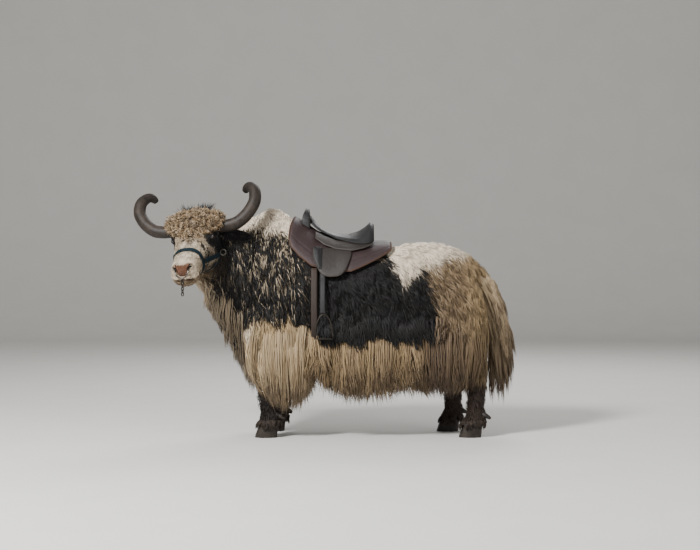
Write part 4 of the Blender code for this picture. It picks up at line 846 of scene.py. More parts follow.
def sculpt_head(points, normals):
    """Folds of the head: nostrils, lips, brow, cheek, and sockets behind the lids."""
    along, out, up = in_face(points)
    half = np.abs(out)
    on_head = head_share(points)
    face = np.array(FACE)
    moved = points.copy()

    wide, high = half - NOSTRIL[1], up - NOSTRIL[2]
    slant = 1.12
    slit = wide * math.sin(slant) + high * math.cos(slant)
    across = high * math.sin(slant) - wide * math.cos(slant)
    curve = across + 11.0 * slit ** 2 - 0.002
    spot = np.sqrt((slit / 0.0185) ** 2 + (curve / 0.0062) ** 2)
    near = ramp(along, 0.445, 0.462)
    moved -= face * (0.022 * np.exp(-spot ** 3) * near)[:, None]
    rise = 0.0046 * hill(spot, 1.65, 0.45) * near
    rise += 0.0030 * hill(along, 0.465, 0.014) * hill(up, -0.020, 0.020)
    rise -= 0.0030 * hill(up, -0.078, 0.007) * hill(half, 0.0, 0.055) * near
    rise += 0.0040 * hill(up, -0.090, 0.010) * hill(half, 0.030, 0.035) * near

    place = np.stack([along, half, up], axis=1)
    mouth = line_distance(place, MOUTH)
    lips = ramp(along, 0.335, 0.355)
    rise -= 0.0080 * np.exp(-(mouth / 0.0048) ** 2) * lips
    rise += 0.0034 * hill(mouth, 0.012, 0.006) * lips
    rise += 0.0060 * hill(along, 0.452, 0.026) * hill(half, 0.0, 0.050) * hill(up, -0.140, 0.018)
    rise -= 0.0026 * hill(out, 0.0, 0.0035) * hill(up, -0.066, 0.022) * ramp(along, 0.47, 0.48)

    rise += 0.0075 * hill(along, 0.118, 0.026) * hill(half, 0.106, 0.020) * hill(up, -0.006, 0.018)
    rise -= 0.0060 * hill(along, 0.196, 0.022) * hill(half, 0.098, 0.024) * hill(up, -0.052, 0.022)
    rise += 0.0045 * hill(along, 0.235, 0.070) * hill(half, 0.086, 0.020) * hill(up, -0.062, 0.016)
    rise -= 0.0055 * hill(along, 0.285, 0.045) * hill(up, -0.112, 0.035) * ramp(half, 0.05, 0.07)
    rise += 0.0050 * hill(along, 0.100, 0.060) * hill(up, -0.165, 0.050) * ramp(half, 0.08, 0.10)
    wrinkles = np.sin(along * 430.0 + 1.6 * np.sin(half * 70.0))
    rise += 0.0014 * wrinkles * hill(along, 0.225, 0.040) * hill(half, 0.0, 0.060) * ramp(up, -0.03, -0.01)
    folds = np.sin(along * 620.0 + half * 110.0)
    rise += 0.0007 * folds * hill(along, 0.418, 0.028) * ramp(up, -0.075, -0.055)
    moved += normals * (rise * on_head)[:, None]

    for side in SIDES.values():
        centre, look, long, top = [np.array(part) for part in eye_frame(side)]
        from_ball = moved - centre
        a, b, depth = from_ball @ long, from_ball @ top, from_ball @ look
        reach = np.sqrt((a / LID_LONG) ** 2 + (b / LID_HIGH) ** 2)
        ball = np.sqrt(np.clip(EYE_RADIUS ** 2 - a * a - b * b, 0, None))
        close = (depth > -0.01) & (reach < 3.2)
        socket = 1 - ramp(reach, 0.80, 1.05)
        lid = ramp(reach, 0.80, 1.10) * (1 - ramp(reach, 1.55, 2.9))
        target = socket * (ball - 0.005) + (1 - socket) * (np.maximum(ball, 0.0105) + 0.0024)
        share = np.clip(socket + lid, 0, 1) * close
        crease = 0.0022 * hill(reach, 2.05, 0.22) * close
        moved += look * ((target - depth) * share)[:, None] - look * crease[:, None]
    return moved


# Markings

# Upper and lower border of the black on neck, shoulder and flank: x, z
BLACK_TOP = (
    (-0.95, 1.12), (-0.72, 1.165), (-0.60, 1.205), (-0.45, 1.195), (-0.30, 1.165), (-0.20, 1.08),
    (0.20, 1.06),
    (0.24, 0.985), (0.28, 0.925), (0.32, 0.905), (0.36, 0.965), (0.42, 0.985), (0.52, 0.95),
)
BLACK_LOW = (
    (-0.95, 1.00), (-0.806, 0.885), (-0.746, 0.700), (-0.66, 0.600), (-0.60, 0.680), (-0.53, 0.700),
    (-0.35, 0.685),
    (-0.253, 0.610), (-0.20, 0.566), (0.60, 0.566),
)

BLACK_REAR = ((0.55, 0.478), (0.80, 0.498), (0.90, 0.455), (0.97, 0.400), (1.03, 0.330))

BACK_LOW = (
    (0.18, 0.98), (0.25, 0.955), (0.31, 0.900), (0.345, 0.950), (0.40, 0.985), (0.50, 1.020), (0.60, 1.045),
    (0.70, 1.06),
)


def marking(points):
    """Shares of black, cream, gold and brown hair at points of the stance frame."""
    x, z = points[:, 0], points[:, 2]
    blotch = ripple(points, 0.20, 3) * 0.5
    streak = ripple(points * (1, 1, 0.30), 0.042, 4) * 0.7
    fleck = ripple(points * (1, 1, 0.50), 0.012, 5, 30) * 0.7

    top = column(BLACK_TOP, x, 1) + 0.020 * streak + 0.012 * fleck
    low = column(BLACK_LOW, x, 1) + 0.012 * streak
    rear = column(BLACK_REAR, z, 1) + 0.035 * streak + 0.02 * blotch
    black = (
        ramp(z, low - 0.012, low + 0.016) * (1 - ramp(z, top - 0.02, top + 0.02))
        * (1 - ramp(x, rear - 0.015, rear + 0.015))
    )
    front = ramp(-x, 0.20, 0.28)
    thick = hill(x, -0.43, 0.20) * hill(z, 1.02, 0.24)
    rare = 1.05 - 0.75 * thick
    pale = ramp(fleck + 0.6 * streak, rare, rare + 0.60) * front
    black = black * (1 - 0.72 * pale)
    cream = np.maximum(
        ramp(z, top - 0.02, top + 0.02) * front, 0.50 * pale * ramp(z, low - 0.02, low + 0.02)
    )
    edge = column(BACK_LOW, x, 1) + 0.020 * streak + 0.014 * fleck
    back = ramp(z, edge - 0.02, edge + 0.02) * ramp(x, 0.17, 0.22) * (1 - 0.60 * ramp(x, 0.52, 0.72))
    cream = np.maximum(cream, back)

    chest = ramp(-x, 0.48, 0.58) * (1 - ramp(z, low - 0.03, low + 0.01))
    cream = np.maximum(cream, chest * (0.50 + 0.20 * streak))
    gold = np.clip(ramp(-x, 0.16, 0.26) + 0.40 + 0.20 * streak + 0.5 * ramp(x, 0.58, 0.74), 0, 1)
    dark = ramp(fleck + 0.5 * streak, 0.25, 1.1)
    rump = ramp(x, 0.36, 0.46)
    flecked = 1 - 0.7 * ramp(x, 0.60, 0.72)
    brown = rump * (0.12 + 0.75 * dark * flecked + 0.42 * ramp(-z, -0.78, -0.52)) * (1 - 0.8 * back)
    brown = np.maximum(brown, 0.20 * ramp(-z, -0.50, -0.40) * ramp(x, -0.2, -0.1))
    tail = ramp(x, 0.750, 0.790)
    brown = np.maximum(brown, tail * (0.04 + 0.34 * ramp(-z, -0.74, -0.45) + 0.18 * dark))
    cream = cream * (1 - tail * ramp(-z, -1.0, -0.93))

    shank = ramp(-z, -0.36, -0.30)
    fore = x < 0.1
    black = np.maximum(black, shank * np.where(fore, 0.80, 0.35))
    brown = np.maximum(brown, shank)
    gold = gold * (1 - shank)
    cream = cream * (1 - shank)

    along, out, up = in_face(points)
    half = np.abs(out)
    head = head_share(points)
    eye_left = np.hypot((along - 0.142) / 0.062, (up + 0.048) / 0.050)
    to_ear = np.hypot((along - 0.062) / 0.100, (up + 0.105) / 0.085)
    patch_left = np.minimum(eye_left, to_ear) + 0.12 * fleck + 2.5 * (1 - ramp(out, 0.044, 0.070))
    eye_right = np.hypot((along - 0.130) / 0.100, (up + 0.055) / 0.058)
    patch_right = eye_right + 0.12 * fleck + 2.5 * (1 - ramp(-out, 0.078, 0.100))
    smudge = (
        np.hypot((along - 0.225) / 0.012, (out + 0.034) / 0.016) + 0.35 + 0.2 * fleck
        + 2.5 * ramp(-up, 0.04, 0.06)
    )
    patch = 1 - ramp(np.minimum(np.minimum(patch_left, patch_right), smudge), 0.80, 1.08)
    poll = ramp(-along, -0.02, 0.02) * ramp(half, 0.06, 0.09)
    cheek = ramp(-up, 0.060, 0.120) * (1 - ramp(along, 0.33, 0.40))
    rear_cheek = ramp(-up, 0.030, 0.060) * (1 - ramp(along, 0.11, 0.20)) * ramp(half, 0.03, 0.06)
    mottled = ramp(0.8 * fleck + 0.7 * streak + 0.5 * blotch, -0.2, 1.0)
    brow = hill(along, 0.215, 0.050) * ramp(up, -0.05, -0.02)
    face_black = np.clip(
        patch + 0.75 * ramp(out, 0.045, 0.085) * mottled * (1 - ramp(along, 0.33, 0.40)) + 0.8 * poll
        + 0.92 * rear_cheek + 0.55 * cheek * mottled + 0.60 * brow * mottled
        + 0.30 * mottled * (1 - ramp(along, 0.36, 0.44)), 0, 1
    )
    jaw = ramp(-up, 0.17, 0.23)
    chin = ramp(-up, 0.100, 0.108) * ramp(along, 0.36, 0.40)
    bridge = hill(out, 0.0, 0.050) * ramp(up, -0.06, -0.03)
    face_cream = np.clip(
        0.50 + 0.26 * bridge - 0.20 * cheek - 0.34 * brow - 0.30 * jaw - 0.34 * chin - 0.22 * mottled, 0, 1
    )
    face_brown = np.clip(0.10 + 0.30 * cheek + 0.30 * brow + 0.22 * chin + 0.24 * mottled, 0, 1)
    black = black * (1 - head) + face_black * head
    cream = cream * (1 - head) + face_cream * head
    gold = gold * (1 - head) + 0.7 * head
    brown = brown * (1 - head) + face_brown * head
    return [np.clip(part, 0, 1) for part in (black, cream, gold, brown)]


def write_map(mesh, name, values):
    """A map from one pair of values a vertex, laid on every corner."""
    corners = np.empty(len(mesh.loops), np.int32)
    mesh.loops.foreach_get("vertex_index", corners)
    mesh.uv_layers.new(name=name).data.foreach_set("uv", values[corners].astype(np.float32).ravel())


def write_colours(mesh, name, red, green, blue):
    layer = mesh.color_attributes.new(name=name, type="FLOAT_COLOR", domain="POINT")
    values = np.stack([red, green, blue, np.ones(len(red))], axis=1).astype(np.float32)
    layer.data.foreach_set("color", values.ravel())


def mesh_points(mesh, what="co"):
    values = np.empty(len(mesh.vertices) * 3, np.float32)
    mesh.vertices.foreach_get(what, values)
    return values.reshape(-1, 3).astype(float)


class Hide:
    """The skin's triangles as arrays, for setting hair on it; built once, by the skin's operator."""

    made = None

    def __init__(self, mesh):
        self.points = mesh_points(mesh) - STANCE
        self.normals = mesh_points(mesh, "normal")
        corners = np.empty(len(mesh.loops), np.int32)
        mesh.loops.foreach_get("vertex_index", corners)
        self.corners = corners.reshape(-1, 3)
        places = np.empty(len(mesh.loops) * 2, np.float32)
        mesh.uv_layers["OFBake"].data.foreach_get("uv", places)
        self.places = places.reshape(-1, 3, 2)
        ears = np.zeros(len(mesh.vertices), np.float32)
        if "ear" in mesh.attributes:
            mesh.attributes["ear"].data.foreach_get("value", ears)
        self.ears = ears[self.corners]
        first, second, third = (self.points[self.corners[:, place]] for place in range(3))
        self.areas = np.linalg.norm(np.cross(second - first, third - first), axis=1) / 2
        self.centres = (first + second + third) / 3
        self.on_ear = self.ears.max(axis=1)
        self.tree = BVHTree.FromPolygons(self.points.tolist(), self.corners.tolist(), all_triangles=True)

    def at(self, triangles, shares):
        """Points, normals, unwrapped places and shares of ear at shares of triangles."""
        ears = (self.ears[triangles] * shares).sum(axis=1)
        shares = shares[:, :, None]
        points = (self.points[self.corners[triangles]] * shares).sum(axis=1)
        normals = unit((self.normals[self.corners[triangles]] * shares).sum(axis=1))
        return points, normals, (self.places[triangles] * shares).sum(axis=1), ears

    def scatter(self, count, weight, seed):
        """Points spread evenly over the skin, as thick as the weight of each triangle."""
        draws = np.random.default_rng(seed)
        total = np.cumsum(self.areas * weight)
        steps = (np.arange(count) + draws.random(count)) / count * total[-1]
        triangles = np.minimum(np.searchsorted(total, steps), len(total) - 1)
        first = np.sqrt(draws.random(count))
        second = draws.random(count)
        shares = np.stack([1 - first, first * (1 - second), first * second], axis=1)
        return self.at(triangles, shares)

    def nearest(self, wanted):
        """The skin's nearest points to the wanted ones, with their normals and unwrapped places."""
        found = [self.tree.find_nearest(point) for point in wanted.tolist()]
        triangles = np.array([hit[2] for hit in found])
        places = np.array([hit[0] for hit in found])
        first, second, third = (self.points[self.corners[triangles, place]] for place in range(3))
        side, other, here = second - first, third - first, places - first
        dss, dso, doo = (side * side).sum(1), (side * other).sum(1), (other * other).sum(1)
        dhs, dho = (here * side).sum(1), (here * other).sum(1)
        whole = np.maximum(dss * doo - dso * dso, 1e-18)
        b = (doo * dhs - dso * dho) / whole
        c = (dss * dho - dso * dhs) / whole
        return self.at(triangles, np.clip(np.stack([1 - b - c, b, c], axis=1), 0, 1))[:3]


def make_skin():
    shape = bmesh.new()
    add_forms(shape)
    skin = new_piece("yak_skin", shape)
    fuse(skin, bpy.context.scene.yak_coat.voxel)

    shape = bmesh.new()
    shape.from_mesh(skin.data)
    relax(shape, shape.verts)
    for finer in range(2):
        places = np.array([vert.co for vert in shape.verts]) - STANCE
        along = in_face(places)[0]
        chosen = (head_share(places) > 0.2) & ((along > 0.02) if finer else (along > -1))
        edges = [edge for edge in shape.edges if chosen[edge.verts[0].index] and chosen[edge.verts[1].index]]
        bmesh.ops.subdivide_edges(shape, edges=edges, cuts=1, use_grid_fill=True)
        shape.verts.index_update()
        shape.verts.ensure_lookup_table()
        places = np.array([vert.co for vert in shape.verts]) - STANCE
        near = head_share(places) > 0.1
        relax(shape, [vert for vert in shape.verts if near[vert.index]])
    shape.to_mesh(skin.data)
    shape.free()
    points = mesh_points(skin.data) - STANCE
    skin.data.vertices.foreach_set(
        "co", (sculpt_head(points, mesh_points(skin.data, "normal")) + STANCE).ravel()
    )

    shape = bmesh.new()
    for side in SIDES.values():
        form(shape, EAR, ear_ring(side), 24, 4)
    ears = len(shape.verts)
    for side in SIDES.values():
        add_lids(shape, side)
    bmesh.ops.translate(shape, vec=Vector(STANCE), verts=shape.verts)
    shape.from_mesh(skin.data)
    bmesh.ops.recalc_face_normals(shape, faces=shape.faces)
    bmesh.ops.triangulate(shape, faces=shape.faces)
    shape.to_mesh(skin.data)
    shape.free()
    on_ear = (np.arange(len(skin.data.vertices)) < ears).astype(np.float32)
    skin.data.attributes.new("ear", "FLOAT", "POINT").data.foreach_set("value", on_ear)
    skin.data.shade_smooth()
    unwrap(skin)
    paint_skin(skin.data, on_ear)
    Hide.made = Hide(skin.data)
    skin.data.materials.append(skin_material(bpy.context.scene))
    legs = ["leg_" + pair + "_" + name for pair in LEGS for name in SIDES]
    return finish_piece(
        skin, ["head", "neck", "torso", "tail", "ear_left", "ear_right", *legs]
    )


def nose_share(points):
    """One on the bare skin between and round the nostrils."""
    along, out, up = in_face(points)
    width = np.interp(
        up, (-0.080, -0.068, -0.050, -0.030, -0.014, -0.004), (0.010, 0.020, 0.032, 0.060, 0.082, 0.070)
    )
    inside = 1 - ramp(np.abs(out), width - 0.003, width + 0.003)
    return (
        inside * ramp(up, -0.082, -0.076) * ramp(-up, 0.013, 0.021) * ramp(along, 0.446, 0.458)
        * head_share(points)
    )


def unwrap(piece):
    """The map that the coat's pieces and the skin share, from the skin's own shape."""
    piece.data.uv_layers.new(name="OFBake")
    bpy.ops.object.select_all(action="DESELECT")
    piece.select_set(True)
    bpy.context.view_layer.objects.active = piece
    bpy.ops.object.mode_set(mode="EDIT")
    bpy.ops.mesh.select_all(action="SELECT")
    bpy.ops.uv.smart_project(angle_limit=math.radians(70), island_margin=0.0015)
    bpy.ops.object.mode_set(mode="OBJECT")


def lid_reach(points, side):
    """How far points are from the middle of an eye, in sizes of its lids, and how far ahead of it."""
    centre, look, long, top = [np.array(part) for part in eye_frame(side)]
    from_ball = points - centre
    return np.hypot((from_ball @ long) / LID_LONG, (from_ball @ top) / LID_HIGH), from_ball @ look


def paint_skin(mesh, on_ear):
    points = mesh_points(mesh) - STANCE
    black, cream, gold, brown = marking(points)
    black = np.maximum(black, on_ear)
    along, out, up = in_face(points)
    half = np.abs(out)
    head = head_share(points)
    mouth = line_distance(np.stack([along, half, up], axis=1), MOUTH)
    # Dark brown along the mouth: the lips' own dark skin and painted shade in the groove between them.
    lip_and_mouth_shade = np.exp(-(mouth / 0.0125) ** 2) * ramp(along, 0.335, 0.36) * head
    # Painted shade: near black inside the hollows of the nostrils.
    wide, high = half - NOSTRIL[1], up - NOSTRIL[2]
    inner = np.exp(
        -(np.hypot(wide / 0.019, (high - wide * 0.45) / 0.011)) ** 4
    ) * ramp(along, 0.440, 0.455) * head
    rim = np.zeros(len(points))
    for side in SIDES.values():
        reach, ahead = lid_reach(points, side)
        rim = np.maximum(rim, (1 - ramp(reach, 1.25, 1.8)) * (ahead > 0))
    write_colours(mesh, "mark", np.maximum(black, rim), cream, gold)
    draw = np.clip(0.35 + 0.12 * ripple(points * (1, 1, 0.3), 0.03, 8), 0, 1)
    write_colours(mesh, "strand", draw, np.full(len(points), 0.45), brown)
    write_colours(mesh, "bare", nose_share(points), np.clip(lip_and_mouth_shade, 0, 1), np.clip(inner + 0.9 * rim, 0, 1))


# Coat

# Size of a strand's patch on the map, and the most triangles that a piece of the coat takes
PATCH = 0.003
MOST_TRIANGLES = 196000


def weave(name, lines, width, facing, uv, mark, draw, profile, flat, material):
    """Tapering three-sided strands along lines, as one mesh from arrays; each is a small patch of the map."""
    count, knots = lines.shape[:2]
    rings = knots - 1
    ahead = unit(lines[:, 1:] - lines[:, :-1])
    ahead = unit(ahead + np.concatenate([ahead[:, :1], ahead[:, :-1]], axis=1))
    across = unit(np.cross(ahead, facing[:, None, :]))
    over = np.cross(across, ahead)
    half = (width[:, None] * np.array(profile)[None, :] / 2)[:, :, None]
    centre = lines[:, :rings]
    corners = np.stack(
        [centre - across * half, centre + across * half, centre + over * half * 2 * flat], axis=2
    )
    points = np.concatenate([corners.reshape(count, rings * 3, 3), lines[:, -1:]], axis=1) + STANCE

    faces = [(0, 1, 2)]
    for low in range(0, (rings - 1) * 3, 3):
        for here, after in ((0, 1), (1, 2), (2, 0)):
            faces += [
                (low + here, low + 3 + here, low + 3 + after), (low + here, low + 3 + after, low + after)
            ]
    last = (rings - 1) * 3
    faces += [(last, rings * 3, last + 1), (last + 1, rings * 3, last + 2), (last + 2, rings * 3, last)]
    faces = np.array(faces)
    size = rings * 3 + 1
    corners = (faces[None] + np.arange(count)[:, None, None] * size).reshape(-1)

    mesh = bpy.data.meshes.new(name)
    mesh.vertices.add(count * size)
    mesh.vertices.foreach_set("co", points.astype(np.float32).ravel())
    mesh.loops.add(len(corners))
    mesh.loops.foreach_set("vertex_index", corners.astype(np.int32))
    mesh.polygons.add(len(corners) // 3)
    mesh.polygons.foreach_set("loop_start", np.arange(0, len(corners), 3, dtype=np.int32))
    mesh.update(calc_edges=True)

    share = np.concatenate([np.repeat(np.arange(rings) / rings, 3), [1.0]])
    sideways = np.concatenate([np.tile((0.0, 1.0, 0.5), rings), [0.5]])
    patch = (np.stack([share, sideways], axis=1) - 0.5) * PATCH
    spread = (uv[:, None, :] + patch[None]).reshape(-1, 2)
    mesh.uv_layers.new(name="OFBake").data.foreach_set("uv", spread[corners].astype(np.float32).ravel())
    black, cream, gold, brown = [np.repeat(part, size) for part in mark]
    write_colours(mesh, "mark", black, cream, gold)
    write_colours(mesh, "strand", np.repeat(draw, size), np.tile(share, count), brown)
    mesh.shade_smooth()
    mesh.materials.append(material)
    made = bpy.data.objects.new(name, mesh)
    bpy.context.scene.collection.objects.link(made)
    return made


def weave_all(name, material, lines, width, facing, uv, mark, draw, profile, flat=0.40):
    """The strands in as many pieces as the limit for one needs."""
    rings = lines.shape[1] - 1
    most = MOST_TRIANGLES // (6 * (rings - 1) + 4)
    parts = math.ceil(len(lines) / most)
    made = []
    for part in range(parts):
        chosen = np.arange(len(lines)) * parts // len(lines) == part
        title = name if parts == 1 else name + "_" + str(part + 1)
        marks = [value[chosen] for value in mark]
        piece = weave(
            title, lines[chosen], width[chosen], facing[chosen], uv[chosen], marks, draw[chosen], profile,
            flat, material
        )
        made.append(finish_piece(piece))
    return made


def bezier(start, first, second, end, shares):
    """Points at shares of curves; every argument but the shares has one row a curve."""
    t = np.array(shares)[None, :, None]
    start, first, second, end = (part[:, None, :] for part in (start, first, second, end))
    return start * (1 - t) ** 3 + first * 3 * t * (1 - t) ** 2 + second * 3 * t * t * (1 - t) + end * t ** 3


def body_lie(points, normals, ears):
    """The way that the hair lies: down and back on the barrel, down on the neck, down the face."""
    x, y, z = points.T
    back = 0.18 + 0.50 * ramp(x, -0.45, 0.10) - 0.30 * ramp(x, 0.45, 0.75)
    outward = np.sign(y) * 0.30 * ramp(z, 0.9, 1.15)
    lie = np.stack([back, outward, np.full(len(x), -1.0)], axis=1)
    crest = (normals[:, 2] > 0.8)[:, None]
    lie = lie + crest * np.array((0.7, 0, 0))
    head = head_share(points)[:, None]
    out = in_face(points)[1]
    face = np.array(FACE) + np.sign(out)[:, None] * np.array(HEAD_LEFT) * 0.25 - np.array(BROW) * 0.35
    lie = lie * (1 - head) + face * head
    for side in SIDES.values():
        leaf = ear_point(side, 1.0, 0.0, -0.35) - ear_point(side, 0.0, 0.0, 0.0)
        here = (ears > 0.5) & (out * side <= 0)
        lie[here] = np.array(leaf)
    lie = lie - normals * (lie * normals).sum(axis=1, keepdims=True)
    return unit(lie)


# How far the hump's hair hides the front edge of the pad over the spine
PAD_SETBACK = 0.034


def under_tack(points, grow=0.0):
    """One where the pad presses the coat down, and on the girth's path."""
    x, y, z = points.T
    edge = column(PAD_EDGE, x, 1)
    pad = ramp(z, edge - 0.004 - grow, edge + 0.008 - grow)
    front = x - PAD_SETBACK * np.exp(-(y / 0.09) ** 2)
    pad = pad * ramp(front, -0.366 - grow, -0.352 - grow) * (1 - ramp(x, 0.232 + grow, 0.246 + grow))
    girth = (np.abs(x + 0.204) < 0.024 + grow) & (np.abs(y) > 0.02)
    return pad, girth.astype(float)


# Shares of the way along a tuft at which its points lie, and its width there
TUFT_SHARES = (0, 0.46, 1.0)
TUFT_PROFILE = (0.85, 0.9)


def short_coat(name, count, weight, seed, length, width, lift, spread=0.30, blur=0.009):
    """Tufts on the skin, as long and wide and as far raised as the sizes at their roots."""
    hide = Hide.made
    scene = bpy.context.scene
    roots, normals, uv, ears = hide.scatter(count, weight, seed)
    draws = np.random.default_rng(seed + 1)
    lie = body_lie(roots, normals, ears)
    turn = (
        spread * ripple(roots * (1, 1, 0.5), 0.055, seed + 2, 10) + draws.normal(0, spread * 0.45, count)
    )[:, None]
    lie = unit(lie + np.cross(normals, lie) * turn)
    reach = (length(roots, ears) * draws.uniform(0.72, 1.22, count))[:, None]
    raised = (
        lift(roots, ears) * draws.uniform(0.55, 1.35, count)
        * (1 + 0.45 * ripple(roots, 0.045, seed + 3, 10))
    )[:, None]
    middle, middle_normals = hide.nearest(roots + lie * reach * 0.5)[:2]
    tip, tip_normals = hide.nearest(middle + lie * reach * 0.55)[:2]
    sag = np.array((0, 0, -0.10)) * reach
    start = roots - normals * 0.004
    first = roots + lie * reach * 0.16 + normals * raised * 0.75
    second = middle + middle_normals * raised * 1.25 + sag * 0.3
    end = tip + tip_normals * raised * draws.uniform(0.25, 1.0, (count, 1)) + sag
    lines = bezier(start, first, second, end, TUFT_SHARES)
    mark = marking(roots + draws.normal(0, blur, (count, 3)))
    mark[0] = np.maximum(mark[0], ears)
    wide = width * draws.uniform(0.7, 1.3, count)
    return weave_all(
        name, hair_material(scene), lines, wide, normals, uv, mark, draws.random(count), TUFT_PROFILE
    )


# Heights against which the coat's length is given: z, length of hair
COAT_LENGTH = (
    (0.0, 0.014), (0.07, 0.034), (0.12, 0.036), (0.20, 0.040), (0.34, 0.056), (0.42, 0.078), (0.55, 0.110),
    (0.90, 0.095), (1.02, 0.075), (1.12, 0.052),
    (1.40, 0.042),
)


def by_halter_ring(points, reach):
    """One at the steel rings of the halter, which hair would cover, and nought past that reach."""
    near = np.zeros(len(points))
    for side in SIDES.values():
        ring = np.array(head_point(JAW_RING[0], mirrored(JAW_RING[1], side)))
        near = np.maximum(near, 1 - ramp(np.linalg.norm(points - ring, axis=1), reach * 0.5, reach))
    return near


def make_body_coat():
    coat = bpy.context.scene.yak_coat
    hide = Hide.made
    z = hide.centres[:, 2]
    pad, girth = under_tack(hide.centres)
    body = (1 - head_share(hide.centres)) * (hide.on_ear == 0) * ramp(z, 0.345, 0.365)
    weight = (
        body * (1 - pad) * (1 - 0.85 * girth) * (0.40 + 0.60 * ramp(z, 0.50, 0.62))
        * (1 - by_halter_ring(hide.centres, 0.034))
    )

    def length(points, ears):
        press = np.maximum(under_tack(points, 0.03)[1], by_halter_ring(points, 0.12))
        return column(COAT_LENGTH, points[:, 2], 1) * (1 - 0.60 * press)

    def lift(points, ears):
        pad, girth = under_tack(points, 0.045)
        top = ramp(points[:, 2], 1.0, 1.12)
        return (0.0115 - 0.002 * top) * (1 - 0.55 * pad) * (1 - 0.75 * girth)
    return short_coat("coat_body", coat.body_tufts, weight, 21, length, 0.0043, lift)


def make_face_coat():
    coat = bpy.context.scene.yak_coat
    hide = Hide.made
    along, out, up = in_face(hide.centres)
    mouth = line_distance(np.stack([along, np.abs(out), up], axis=1), MOUTH)
    eyes = np.ones(len(along))
    for side in SIDES.values():
        reach, ahead = lid_reach(hide.centres, side)
        eyes = np.minimum(eyes, np.where(ahead > -0.01, ramp(reach, 1.45, 1.75), 1))
    weight = head_share(hide.centres) * (1 - nose_share(hide.centres)) * ramp(mouth, 0.009, 0.015) * eyes
    weight = np.where(hide.on_ear > 0, 1.3, weight) * (1 - by_halter_ring(hide.centres, 0.034))

    def length(points, ears):
        along, out, up = in_face(points)
        chin = hill(up, -0.155, 0.03) * ramp(along, 0.36, 0.42)
        jaw = ramp(-up, 0.13, 0.20) * (1 - ramp(along, 0.30, 0.36))
        muzzle = ramp(along, 0.38, 0.44)
        return (
            0.016 - 0.006 * muzzle + 0.018 * jaw + 0.014 * chin + 0.010 * ramp(-along, -0.10, 0.0)
            + 0.012 * ears
        )

    def lift(points, ears):
        along, out, up = in_face(points)
        return 0.0032 + 0.0040 * ramp(-up, 0.12, 0.20) * (1 - ramp(along, 0.34, 0.40)) + 0.0020 * ears
    return short_coat(
        "coat_face", coat.face_tufts, weight, 31, length, 0.0030, lift, 0.24, 0.003
    )


def make_feet_coat():
    coat = bpy.context.scene.yak_coat
    hide = Hide.made
    z = hide.centres[:, 2]
    weight = (1 - ramp(z, 0.355, 0.375)) * (1 - head_share(hide.centres)) * (hide.on_ear == 0)

    def length(points, ears):
        fetlock = hill(points[:, 2], 0.10, 0.035)
        return column(COAT_LENGTH, points[:, 2], 1) + 0.014 * fetlock

    def lift(points, ears):
        return 0.0065 + 0.005 * hill(points[:, 2], 0.095, 0.03) + 0.007 * ramp(points[:, 2], 0.14, 0.28)
    return short_coat("coat_feet", coat.feet_tufts, weight, 41, length, 0.0050, lift, 0.34)


# The same for a strand of long hair
STRAND_SHARES = (0, 0.30, 0.58, 0.82, 1.0)
STRAND_PROFILE = (0.85, 1.0, 0.95, 0.62)


def hang(name, roots, tips, bow, radius, seed, mark_at, width=0.0054, spill=0.55, wave=0.008):
    """Long hair in locks: each hangs from root to tip, out by its bow, and its strands close in on it."""
    hide = Hide.made
    scene = bpy.context.scene
    strands = scene.yak_coat.lock_strands
    draws = np.random.default_rng(seed)
    locks = len(roots)
    home, normals = hide.nearest(roots)[:2]
    drop = tips - home
    plane = unit(normals * (1, 1, 0.3))
    first = home + drop * 0.28 + plane * bow[:, None] * 1.1
    second = home + drop * 0.68 + plane * bow[:, None] * 0.9

    whose = np.repeat(np.arange(locks), strands)
    many = len(whose)
    ring = draws.uniform(0, 2 * math.pi, many)
    away = np.sqrt(draws.random(many)) * radius
    side = unit(np.cross(drop, plane))
    offset = (
        side[whose] * (away * np.cos(ring))[:, None] + plane[whose] * (away * 0.55 * np.sin(ring))[:, None]
    )
    start, out, uv = hide.nearest(home[whose] + offset * 1.25)
    reach = draws.uniform(0.66, 1.03, many)[:, None]
    lines = bezier(
        home[whose], first[whose], second[whose], home[whose] + drop[whose] * reach, STRAND_SHARES
    )
    steps = np.array(STRAND_SHARES)[None, :, None]
    close = 1 - (1 - spill) * np.clip(steps / 0.85, 0, 1)
    root_gap = (start - home[whose])[:, None, :]
    lines = lines + root_gap * (1 - steps) ** 2 + offset[:, None, :] * close * (1 - (1 - steps) ** 2)
    phase = (draws.uniform(0, 2 * math.pi, locks)[whose] + draws.normal(0, 0.8, many))[:, None]
    turns = draws.uniform(0.7, 1.5, locks)[whose][:, None]
    swing = (wave * draws.uniform(0.4, 1.3, locks)[whose])[:, None]
    far = steps[:, :, 0]
    bend = np.sin(phase + 2 * math.pi * turns * far) * swing * np.clip(far * 2, 0, 1)
    turn_other = np.cos(phase * 1.7 + 2 * math.pi * turns * far) * swing * 0.6 * far
    lines = (
        lines + side[whose][:, None, :] * bend[:, :, None]
        + plane[whose][:, None, :] * turn_other[:, :, None]
    )
    lines[:, 0] = start - out * 0.004
    lines[:, :, 2] = np.maximum(lines[:, :, 2], 0.004)
    mark = mark_at(start, whose, draws)
    tone = np.clip(draws.random(locks)[whose] * 0.45 + draws.random(many) * 0.55, 0, 1)
    wide = width * draws.uniform(0.65, 1.3, many)
    facing = unit(plane[whose] + draws.normal(0, 0.25, (many, 3)))
    return weave_all(
        name, hair_material(scene, 0.62), lines, wide, facing, uv, mark, tone, STRAND_PROFILE
    )


def spread_even(count, draws, low=0.0, high=1.0):
    """Values spread evenly between two limits, each shaken a little, in a seeded order."""
    steps = (np.arange(count) + draws.uniform(0.15, 0.85, count)) / count
    return low + (high - low) * draws.permutation(steps)


